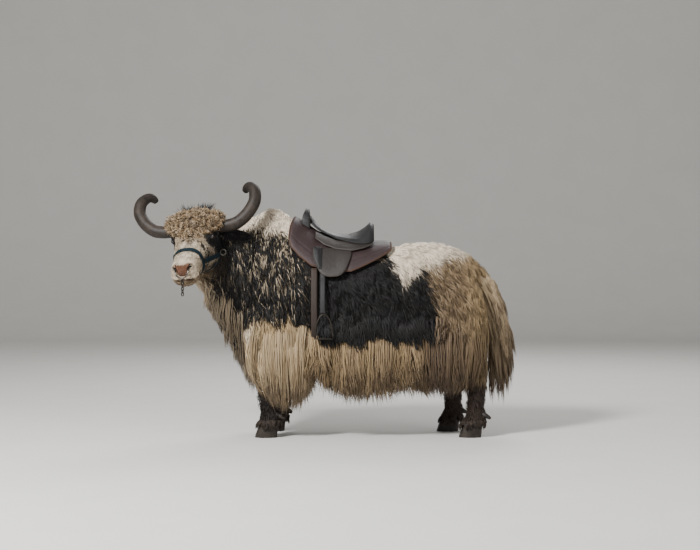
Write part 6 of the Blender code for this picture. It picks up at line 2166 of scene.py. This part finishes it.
def make_saddle():
    worn = leather_material("worn_pad_leather", "231819", "4d3b38", 520.0, 0.55)
    dark = leather_material("black_saddle_leather", "131213", "33302f", 640.0, 0.44)
    brown = leather_material("dark_saddle_leather", "211d1b", "453e39", 600.0, 0.46)
    cord = leather_material("brown_binding", "3b261a", "5e422c", 700.0, 0.6)

    pad = plate("saddle_pad_stuffed", pad_place, 72, 110, worn, ["saddle_pad"])
    shape = bmesh.new()
    rim = [pad_place(u, v, 0.4) for u, v in pad_rim()]
    rim = [point + Vector((0, 0, 0.003)) for point in rim]
    pipe(shape, rim, 0.0038, 10, closed=True)
    closed_piece("pad_binding", shape, cord)

    def seat_ring(row, line, angle):
        x = row[0]
        near = (
            min(1.0, max(0.0, (x + 0.236) / 0.016)) ** 0.5 * min(1.0, max(0.0, (0.146 - x) / 0.018)) ** 0.5
        )
        half = row_at(SEAT_HALF, x)[1] * (0.86 + 0.14 * near)
        turn = angle if angle <= math.pi else 2 * math.pi - angle
        y = half * math.cos(turn)
        floor = seat_floor(x, y)
        if angle > math.pi:
            return Vector((x, y, floor))
        top = row_at(SEAT_TOP, x)[1]
        edge = seat_floor(x, half) + SEAT_RIM
        across = abs(math.cos(turn))
        height = edge + (top - edge) * (1 - across ** 2.2)
        round_edge = 1 - across ** 14
        welt = 0.0018 * math.exp(-((across - 0.86) / 0.03) ** 2)
        return Vector(
            (x, y, floor + (height - floor) * (0.35 + 0.65 * round_edge) * (0.75 + 0.25 * near) + welt)
        )
    shape = bmesh.new()
    form(shape, [(x, 0.0, 0.0) for x in np.linspace(-0.232, 0.140, 48)], seat_ring, 72, 1)
    seat = new_piece("saddle_seat_leather", shape, dark)
    finish_piece(seat, ["saddle_seat"])

    def pommel_place(u, v, face):
        turn = math.pi * v
        taper = math.sin(turn) ** 2
        x = span(POMMEL_X[0] + 0.018 * taper, POMMEL_X[1] - 0.004 * taper, u)
        swell = 0.70 + 0.30 * edge_swell(u, 0.5, 4.0)
        half = POMMEL_HALF - (0 if face else POMMEL_WALL * 0.8)
        half = POMMEL_HALF - (POMMEL_HALF - half if not face else POMMEL_WALL * 0.8 * (1 - swell))
        foot = seat_floor(x, half) - SEAT_LIFT + 0.001
        top = POMMEL_TOP - (POMMEL_WALL * (1 - swell) if face else POMMEL_WALL)
        return Vector((x, half * math.cos(turn), foot + (top - foot) * math.sin(turn) ** 0.8))
    plate("saddle_pommel_arch", pommel_place, 12, 80, dark, ["saddle_pommel"])

    for name, side in SIDES.items():
        def flap_place(u, v, face):
            x = span(*FLAP_X, u)
            angle = span(barrel_angle(x, flap_low(x)), barrel_angle(x, FLAP_TOP), v)
            lift = pad_top(angle) + FLAP_LIFT + face * LEATHER * (0.3 + 0.7 * edge_swell(u, v))
            return barrel_point(x, side * angle, lift + 0.0012 * face * math.sin(u * 9) * math.sin(v * 4))
        plate(
            "saddle_flap_leather_" + name, flap_place, 48, 32, brown,
            ["saddle_flap_" + name]
        )

        def roll_place(u, v, face):
            x = span(*KNEE_ROLL_X, u)
            low = barrel_angle(x, max(flap_low(x) + 0.006, 0.955))
            angle = span(low, barrel_angle(x, 1.070), v)
            swell = face * 0.009 * math.sin(math.pi * span(0.06, 0.94, u)) * edge_swell(0.5, v, 8.0)
            return barrel_point(x, side * angle, pad_top(angle) + SKIRT_LIFT + swell + face * 0.001)
        plate("knee_roll_stuffed_" + name, roll_place, 16, 32, dark, ["knee_roll_" + name])

        def skirt_place(u, v, face):
            x = span(*SEAT_SKIRT_X, u)
            low = barrel_angle(x, row_at(SEAT_SKIRT_EDGE, x)[1])
            angle = span(low, low * 0.62, v)
            lift = pad_top(angle) + SKIRT_LIFT + face * LEATHER * (0.3 + 0.7 * edge_swell(u, v))
            return barrel_point(x, side * angle, lift)
        plate(
            "saddle_skirt_leather_" + name, skirt_place, 60, 14, brown,
            ["saddle_skirt_" + name]
        )


def pad_rim():
    """Places round the edge of the pad."""
    steps = 90
    for place in range(steps):
        yield place / steps, 0.0
    for place in range(steps):
        yield 1.0, place / steps
    for place in range(steps):
        yield 1 - place / steps, 1.0
    for place in range(steps):
        yield 0.0, 1 - place / steps


def make_straps():
    """Girth and stirrup leathers, and the stirrups on them."""
    dark = leather_material("black_strap_leather", "121112", "2c2a2a", 640.0, 0.5)
    girth_leather = leather_material("brown_girth_leather", "241a15", "3d3028", 560.0, 0.6)
    steel = steel_material("blackened_stirrup_steel", "514c47", "27231f")

    def girth_place(u, v, face):
        x = span(GIRTH_X - GIRTH_HALF, GIRTH_X + GIRTH_HALF, u)
        start = barrel_angle(x, 0.975)
        angle = start + v * (2 * math.pi - 2 * start)
        return barrel_point(x, angle, GIRTH_LIFT + face * LEATHER * (0.35 + 0.65 * edge_swell(u, 0.5, 6.0)))
    plate("girth_strap", girth_place, 8, 120, girth_leather, ["girth"])

    for name, side in SIDES.items():
        def strap_place(u, v, face):
            x = span(STRAP_X - STRAP_HALF, STRAP_X + STRAP_HALF, u)
            z = span(1.030, STIRRUP_TOP + 0.012, v)
            angle = barrel_angle(x, z)
            raised = face * LEATHER * 0.9 * (0.4 + 0.6 * edge_swell(u, v, 8.0))
            point = barrel_point(x, side * angle, pad_top(angle) + STRAP_LIFT + raised)
            if z < 0.93:
                reach = STIRRUP_OUT + raised - LEATHER * 0.45
                point.y = side * span(abs(point.y), reach, min(1.0, (0.93 - z) / 0.218))
                point.z = z
            return point
        plate(
            "stirrup_strap_" + name, strap_place, 8, 60, dark, ["stirrup_leather_" + name]
        )

        shape = bmesh.new()
        points = []
        widths = []
        for step in range(49):
            turn = math.pi * step / 48
            x = STIRRUP_X + (STIRRUP_HALF - 0.0045) * math.cos(turn) * (1.0 - 0.10 * math.sin(turn))
            rise = span(STIRRUP_LOW + 0.005, STIRRUP_TOP + 0.006, math.sin(turn) ** 0.75)
            points.append((x, side * STIRRUP_OUT, rise))
            widths.append(0.0034 + 0.0012 * math.cos(turn) ** 2)
        pipe(shape, points, widths, 14, reference=SIDEWAYS)
        tread = bmesh.ops.create_cube(shape, size=1.0)["verts"]
        bmesh.ops.scale(shape, vec=(2 * STIRRUP_HALF, 0.034, 0.006), verts=tread)
        bmesh.ops.translate(shape, vec=(STIRRUP_X, side * STIRRUP_OUT, STIRRUP_LOW + 0.003), verts=tread)
        edges = [edge for edge in shape.edges if edge.verts[0] in tread]
        bmesh.ops.bevel(
            shape, geom=edges, offset=0.0022, segments=3, affect="EDGES", profile=0.5, material=-1
        )
        for place in range(9):
            rib = bmesh.ops.create_cube(shape, size=1.0)["verts"]
            bmesh.ops.scale(shape, vec=(0.004, 0.028, 0.003), verts=rib)
            bmesh.ops.translate(
                shape, vec=(STIRRUP_X + (place - 4) * 0.0098, side * STIRRUP_OUT, STIRRUP_LOW + 0.0068),
                verts=rib
            )
        closed_piece("stirrup_iron_" + name, shape, steel, ["stirrup_" + name])


# Halter and nose ring

NOSEBAND_ALONG = 0.330
WEB = 0.028
WEB_THICK = 0.0032
JAW_RING = (0.118, math.radians(-14))
CHIN_LINE = 0.262
NOSE_RING_LOW = (0.511, 0.0, -0.076)
NOSE_WIRE = 0.0036


def mirrored(angle, side):
    return angle if side < 0 else math.pi - angle


def head_strap(name, route, node, material):
    """Webbing laid over the head through places given as distance along the face and angle."""
    path = np.array(smooth_path(route, 10))
    count = len(path) - 1

    def place(u, v, face):
        spot = round(v * count)
        along, angle = path[spot]
        line = head_point(*path[min(spot + 1, count)]) - head_point(*path[max(spot - 1, 0)])
        raised = 0.0035 + face * WEB_THICK * (0.5 + 0.5 * edge_swell(u, 0.5, 8.0))
        across = line.cross(head_normal(along, angle)).normalized()
        return head_point(along, angle, raised) + across * WEB * (u - 0.5)
    plate(name, place, 6, count, material, [node], (WEB, 0.2))


def make_halter():
    webbing = webbing_material()
    steel = steel_material("worn_steel", "7c7872", "2f2b27")

    def band_place(u, v, face):
        angle = 2 * math.pi * v
        lift = 0.0012 + face * WEB_THICK * (0.5 + 0.5 * edge_swell(u, 0.5, 8.0))
        return head_point(NOSEBAND_ALONG + (u - 0.5) * WEB, angle, lift)
    plate("halter_noseband_web", band_place, 6, 120, webbing, ["halter_noseband"], (WEB, 0.6))

    along, angle = JAW_RING
    for name, side in SIDES.items():
        start = NOSEBAND_ALONG - WEB / 2 - 0.009
        cheek = [
            (start, mirrored(math.radians(-4), side)),
            ((start + along) / 2, mirrored(math.radians(-10), side)),
            (along + 0.020, mirrored(angle, side)),
        ]
        head_strap("halter_cheek_web_" + name, cheek, "halter_cheek_" + name, webbing)
        turned = mirrored(angle, side)
        out = (head_point(along, turned, 0.01) - head_point(along, turned, 0.0)).normalized()
        centre = head_point(along, turned, 0.0190)
        facing = (HEADING * 0.8 + out * 0.45).normalized()
        line = facing.cross(UP).normalized()
        rise = line.cross(facing)
        shape = bmesh.new()
        points = []
        for step in range(40):
            turn = 2 * math.pi * step / 40
            points.append(centre + line * 0.0165 * math.cos(turn) + rise * 0.0165 * math.sin(turn))
        pipe(shape, points, 0.0031, 12, closed=True, reference=facing)
        closed_piece("halter_steel_ring_" + name, shape, steel, ["halter_ring_" + name])
    left = mirrored(angle, -1) - math.radians(9)
    under = [
        (along + 0.012, left), (0.200, math.radians(-50)), (CHIN_LINE, math.radians(-90)),
        (0.200, math.radians(-130)),
        (along + 0.012, -math.pi - left),
    ]
    head_strap("halter_throat_web", under, "halter_throat", webbing)

    half = [
        (0.470, 0.037, -0.040), (0.492, 0.038, -0.042), (0.506, 0.034, -0.052), (0.512, 0.026, -0.064),
        (0.512, 0.013, -0.073), NOSE_RING_LOW,
    ]
    line = half + [(along, -out, up) for along, out, up in reversed(half[:-1])]
    shape = bmesh.new()
    pipe(shape, [on_face(*row) for row in smooth_path(line, 6)], NOSE_WIRE, 14)
    rubbed = steel_material("rubbed_nose_ring_steel", "8f8b85", "2d2925")
    closed_piece("nose_ring_steel", shape, rubbed, ["nose_ring"])

    shape = bmesh.new()
    top = on_face(*NOSE_RING_LOW) - UP * (NOSE_WIRE + 0.0008)
    links, pitch, half_link = 6, 0.0148, 0.0098
    for link in range(links):
        middle = top - UP * (0.0095 + pitch * link)
        wide = Vector((0.8, 0.6, 0)) if link % 2 else Vector((-0.6, 0.8, 0))
        points = []
        for step in range(24):
            turn = 2 * math.pi * step / 24
            rise = half_link * math.copysign(abs(math.sin(turn)) ** 0.7, math.sin(turn))
            points.append(middle + wide * 0.0068 * math.cos(turn) + UP * rise)
        pipe(shape, points, 0.0027, 8, closed=True, reference=wide.cross(UP))
    links_steel = steel_material("dark_chain_steel", "4d4945", "1d1a18")
    closed_piece("nose_chain_links", shape, links_steel, ["nose_chain"])


# Studio

def bent_backdrop():
    """A floor that turns up behind the animal in one sweep."""
    depth, bend, height = 9.0, 3.0, 9.0

    def place(u, v):
        run = v * 38.0
        y = -14.0 + run
        z = -0.0005
        over = y - depth
        if over > 0:
            turn = min(over / bend, math.pi / 2)
            y = depth + bend * math.sin(turn)
            z += bend * (1 - math.cos(turn)) + max(0.0, over - bend * math.pi / 2) * 1.6
        return Vector(((u - 0.5) * 46.0, y, min(z, height)))
    shape = bmesh.new()
    made = bmesh.ops.create_grid(shape, x_segments=2, y_segments=190, size=0.5)
    for vert in made["verts"]:
        vert.co = place(vert.co.x + 0.5, vert.co.y + 0.5)
    bmesh.ops.recalc_face_normals(shape, faces=shape.faces)
    made, tree, shader = new_material("pale_studio_paper", roughness=0.9, specular_ior_level=0.1)
    grain = noise(tree, add_node(tree, "ShaderNodeTexCoord").outputs["Object"], 3.0)
    tint = mixed(tree, grain, solid(srgb("cfcdc9")), solid(srgb("d6d4d0")))
    tree.links.new(tint, shader.inputs["Base Color"])
    return new_piece("studio_floor", shape, made)


def add_light(name, place, aim, size, power):
    light = bpy.data.lights.new(name, "AREA")
    light.shape = "DISK"
    light.size = size
    light.energy = power
    made = bpy.data.objects.new(name, light)
    made.location = place
    made.rotation_euler = (Vector(aim) - Vector(place)).to_track_quat("-Z", "Y").to_euler()
    bpy.context.scene.collection.objects.link(made)
    return made


def make_studio():
    scene = bpy.context.scene
    studio = scene.yak_studio
    aim = (0.1, 0.1, 0.75)
    things = [
        bent_backdrop(),
        add_light("key_light", (-3.2, -4.6, 4.8), aim, 1.5, studio.key),
        add_light("fill_light", (4.6, -4.2, 2.6), aim, 3.4, studio.fill),
        add_light("rim_light", (1.5, 5.0, 5.2), aim, 3.0, studio.rim),
    ]
    world = bpy.data.worlds.new("studio_air")
    world.use_nodes = True
    air = world.node_tree.nodes["Background"]
    air.inputs["Color"].default_value = (1.0, 0.99, 0.97, 1.0)
    air.inputs["Strength"].default_value = 0.38
    scene.world = world
    lens = bpy.data.cameras.new("camera")
    lens.sensor_width = 36.0
    lens.lens = studio.lens
    camera = bpy.data.objects.new("camera", lens)
    camera.location = (STANCE[0], STANCE[1] - studio.distance, studio.height)
    camera.rotation_euler = (math.radians(90 - 1.05), 0, 0)
    scene.collection.objects.link(camera)
    scene.camera = camera


# Operators and panel

class YakOperator:
    """What every step has in common: it makes its pieces, and an error in them stops it."""

    bl_options = {"REGISTER", "UNDO"}
    steps = ()

    def execute(self, context):
        for step in self.steps:
            step()
        return {"FINISHED"}


class YAK_OT_skin(YakOperator, bpy.types.Operator):
    """Fuse the flesh into one skin, with its folds and markings"""

    bl_idname = "yak.make_skin"
    bl_label = "Skin"
    steps = (make_skin,)


class YAK_OT_coat(YakOperator, bpy.types.Operator):
    """Set the short coat of body, face and feet on the skin"""

    bl_idname = "yak.make_coat"
    bl_label = "Coat"
    steps = (make_body_coat, make_face_coat, make_feet_coat)


class YAK_OT_long_hair(YakOperator, bpy.types.Operator):
    """Hang the long hair of belly, legs, neck and tail"""

    bl_idname = "yak.make_long_hair"
    bl_label = "Long hair"
    steps = (make_skirt, make_bells, make_fetlocks, make_thighs, make_beard, make_tail)


class YAK_OT_forelock(YakOperator, bpy.types.Operator):
    """Curl the wool of the forelock"""

    bl_idname = "yak.make_forelock"
    bl_label = "Forelock"
    steps = (make_forelock,)


class YAK_OT_horns(YakOperator, bpy.types.Operator):
    """Grow the horns, with their ridges and blunt tips"""

    bl_idname = "yak.make_horns"
    bl_label = "Horns"
    steps = (make_horns,)


class YAK_OT_eyes(YakOperator, bpy.types.Operator):
    """Set the eyes behind their lids"""

    bl_idname = "yak.make_eyes"
    bl_label = "Eyes"
    steps = (make_eyes,)


class YAK_OT_hooves(YakOperator, bpy.types.Operator):
    """Make the claws and dewclaws of the four feet"""

    bl_idname = "yak.make_hooves"
    bl_label = "Hooves"
    steps = (make_hooves,)


class YAK_OT_saddle(YakOperator, bpy.types.Operator):
    """Lay the saddle in its layers over the barrel"""

    bl_idname = "yak.make_saddle"
    bl_label = "Saddle"
    steps = (make_saddle,)


class YAK_OT_straps(YakOperator, bpy.types.Operator):
    """Hang the girth, the stirrup leathers and the stirrups"""

    bl_idname = "yak.make_straps"
    bl_label = "Straps and stirrups"
    steps = (make_straps,)


class YAK_OT_halter(YakOperator, bpy.types.Operator):
    """Lay the halter over the head and set the nose ring with its chain"""

    bl_idname = "yak.make_halter"
    bl_label = "Halter and nose ring"
    steps = (make_halter,)


class YAK_OT_studio(YakOperator, bpy.types.Operator):
    """Set up floor, lights and camera"""

    bl_idname = "yak.make_studio"
    bl_label = "Studio"
    steps = (make_studio,)


STEPS = (
    YAK_OT_skin, YAK_OT_coat, YAK_OT_long_hair, YAK_OT_forelock, YAK_OT_horns, YAK_OT_eyes, YAK_OT_hooves,
    YAK_OT_saddle,
    YAK_OT_straps, YAK_OT_halter, YAK_OT_studio,
)


class YAK_PT_panel(bpy.types.Panel):
    """The settings and the steps, in order"""

    bl_idname = "YAK_PT_panel"
    bl_label = "Yak"
    bl_space_type = "VIEW_3D"
    bl_region_type = "UI"
    bl_category = "Yak"

    def draw(self, context):
        for settings in (context.scene.yak_colours, context.scene.yak_coat, context.scene.yak_studio):
            box = self.layout.box()
            for name in settings.bl_rna.properties.keys():
                if name not in ("rna_type", "name"):
                    box.prop(settings, name)
        for step in STEPS:
            self.layout.operator(step.bl_idname)


SETTINGS = {"yak_colours": YakColours, "yak_coat": YakCoat, "yak_studio": YakStudio}


def register():
    for name, kind in SETTINGS.items():
        bpy.utils.register_class(kind)
        setattr(bpy.types.Scene, name, bpy.props.PointerProperty(type=kind))
    for kind in (*STEPS, YAK_PT_panel):
        bpy.utils.register_class(kind)


def unregister():
    for kind in reversed((*STEPS, YAK_PT_panel)):
        bpy.utils.unregister_class(kind)
    for name, kind in SETTINGS.items():
        delattr(bpy.types.Scene, name)
        bpy.utils.unregister_class(kind)


def main():
    register()
    bpy.ops.yak.make_skin()
    bpy.ops.yak.make_coat()
    bpy.ops.yak.make_long_hair()
    bpy.ops.yak.make_forelock()
    bpy.ops.yak.make_horns()
    bpy.ops.yak.make_eyes()
    bpy.ops.yak.make_hooves()
    bpy.ops.yak.make_saddle()
    bpy.ops.yak.make_straps()
    bpy.ops.yak.make_halter()
    bpy.ops.yak.make_studio()
    bpy.context.view_layer.update()


if __name__ == "__main__":
    main()
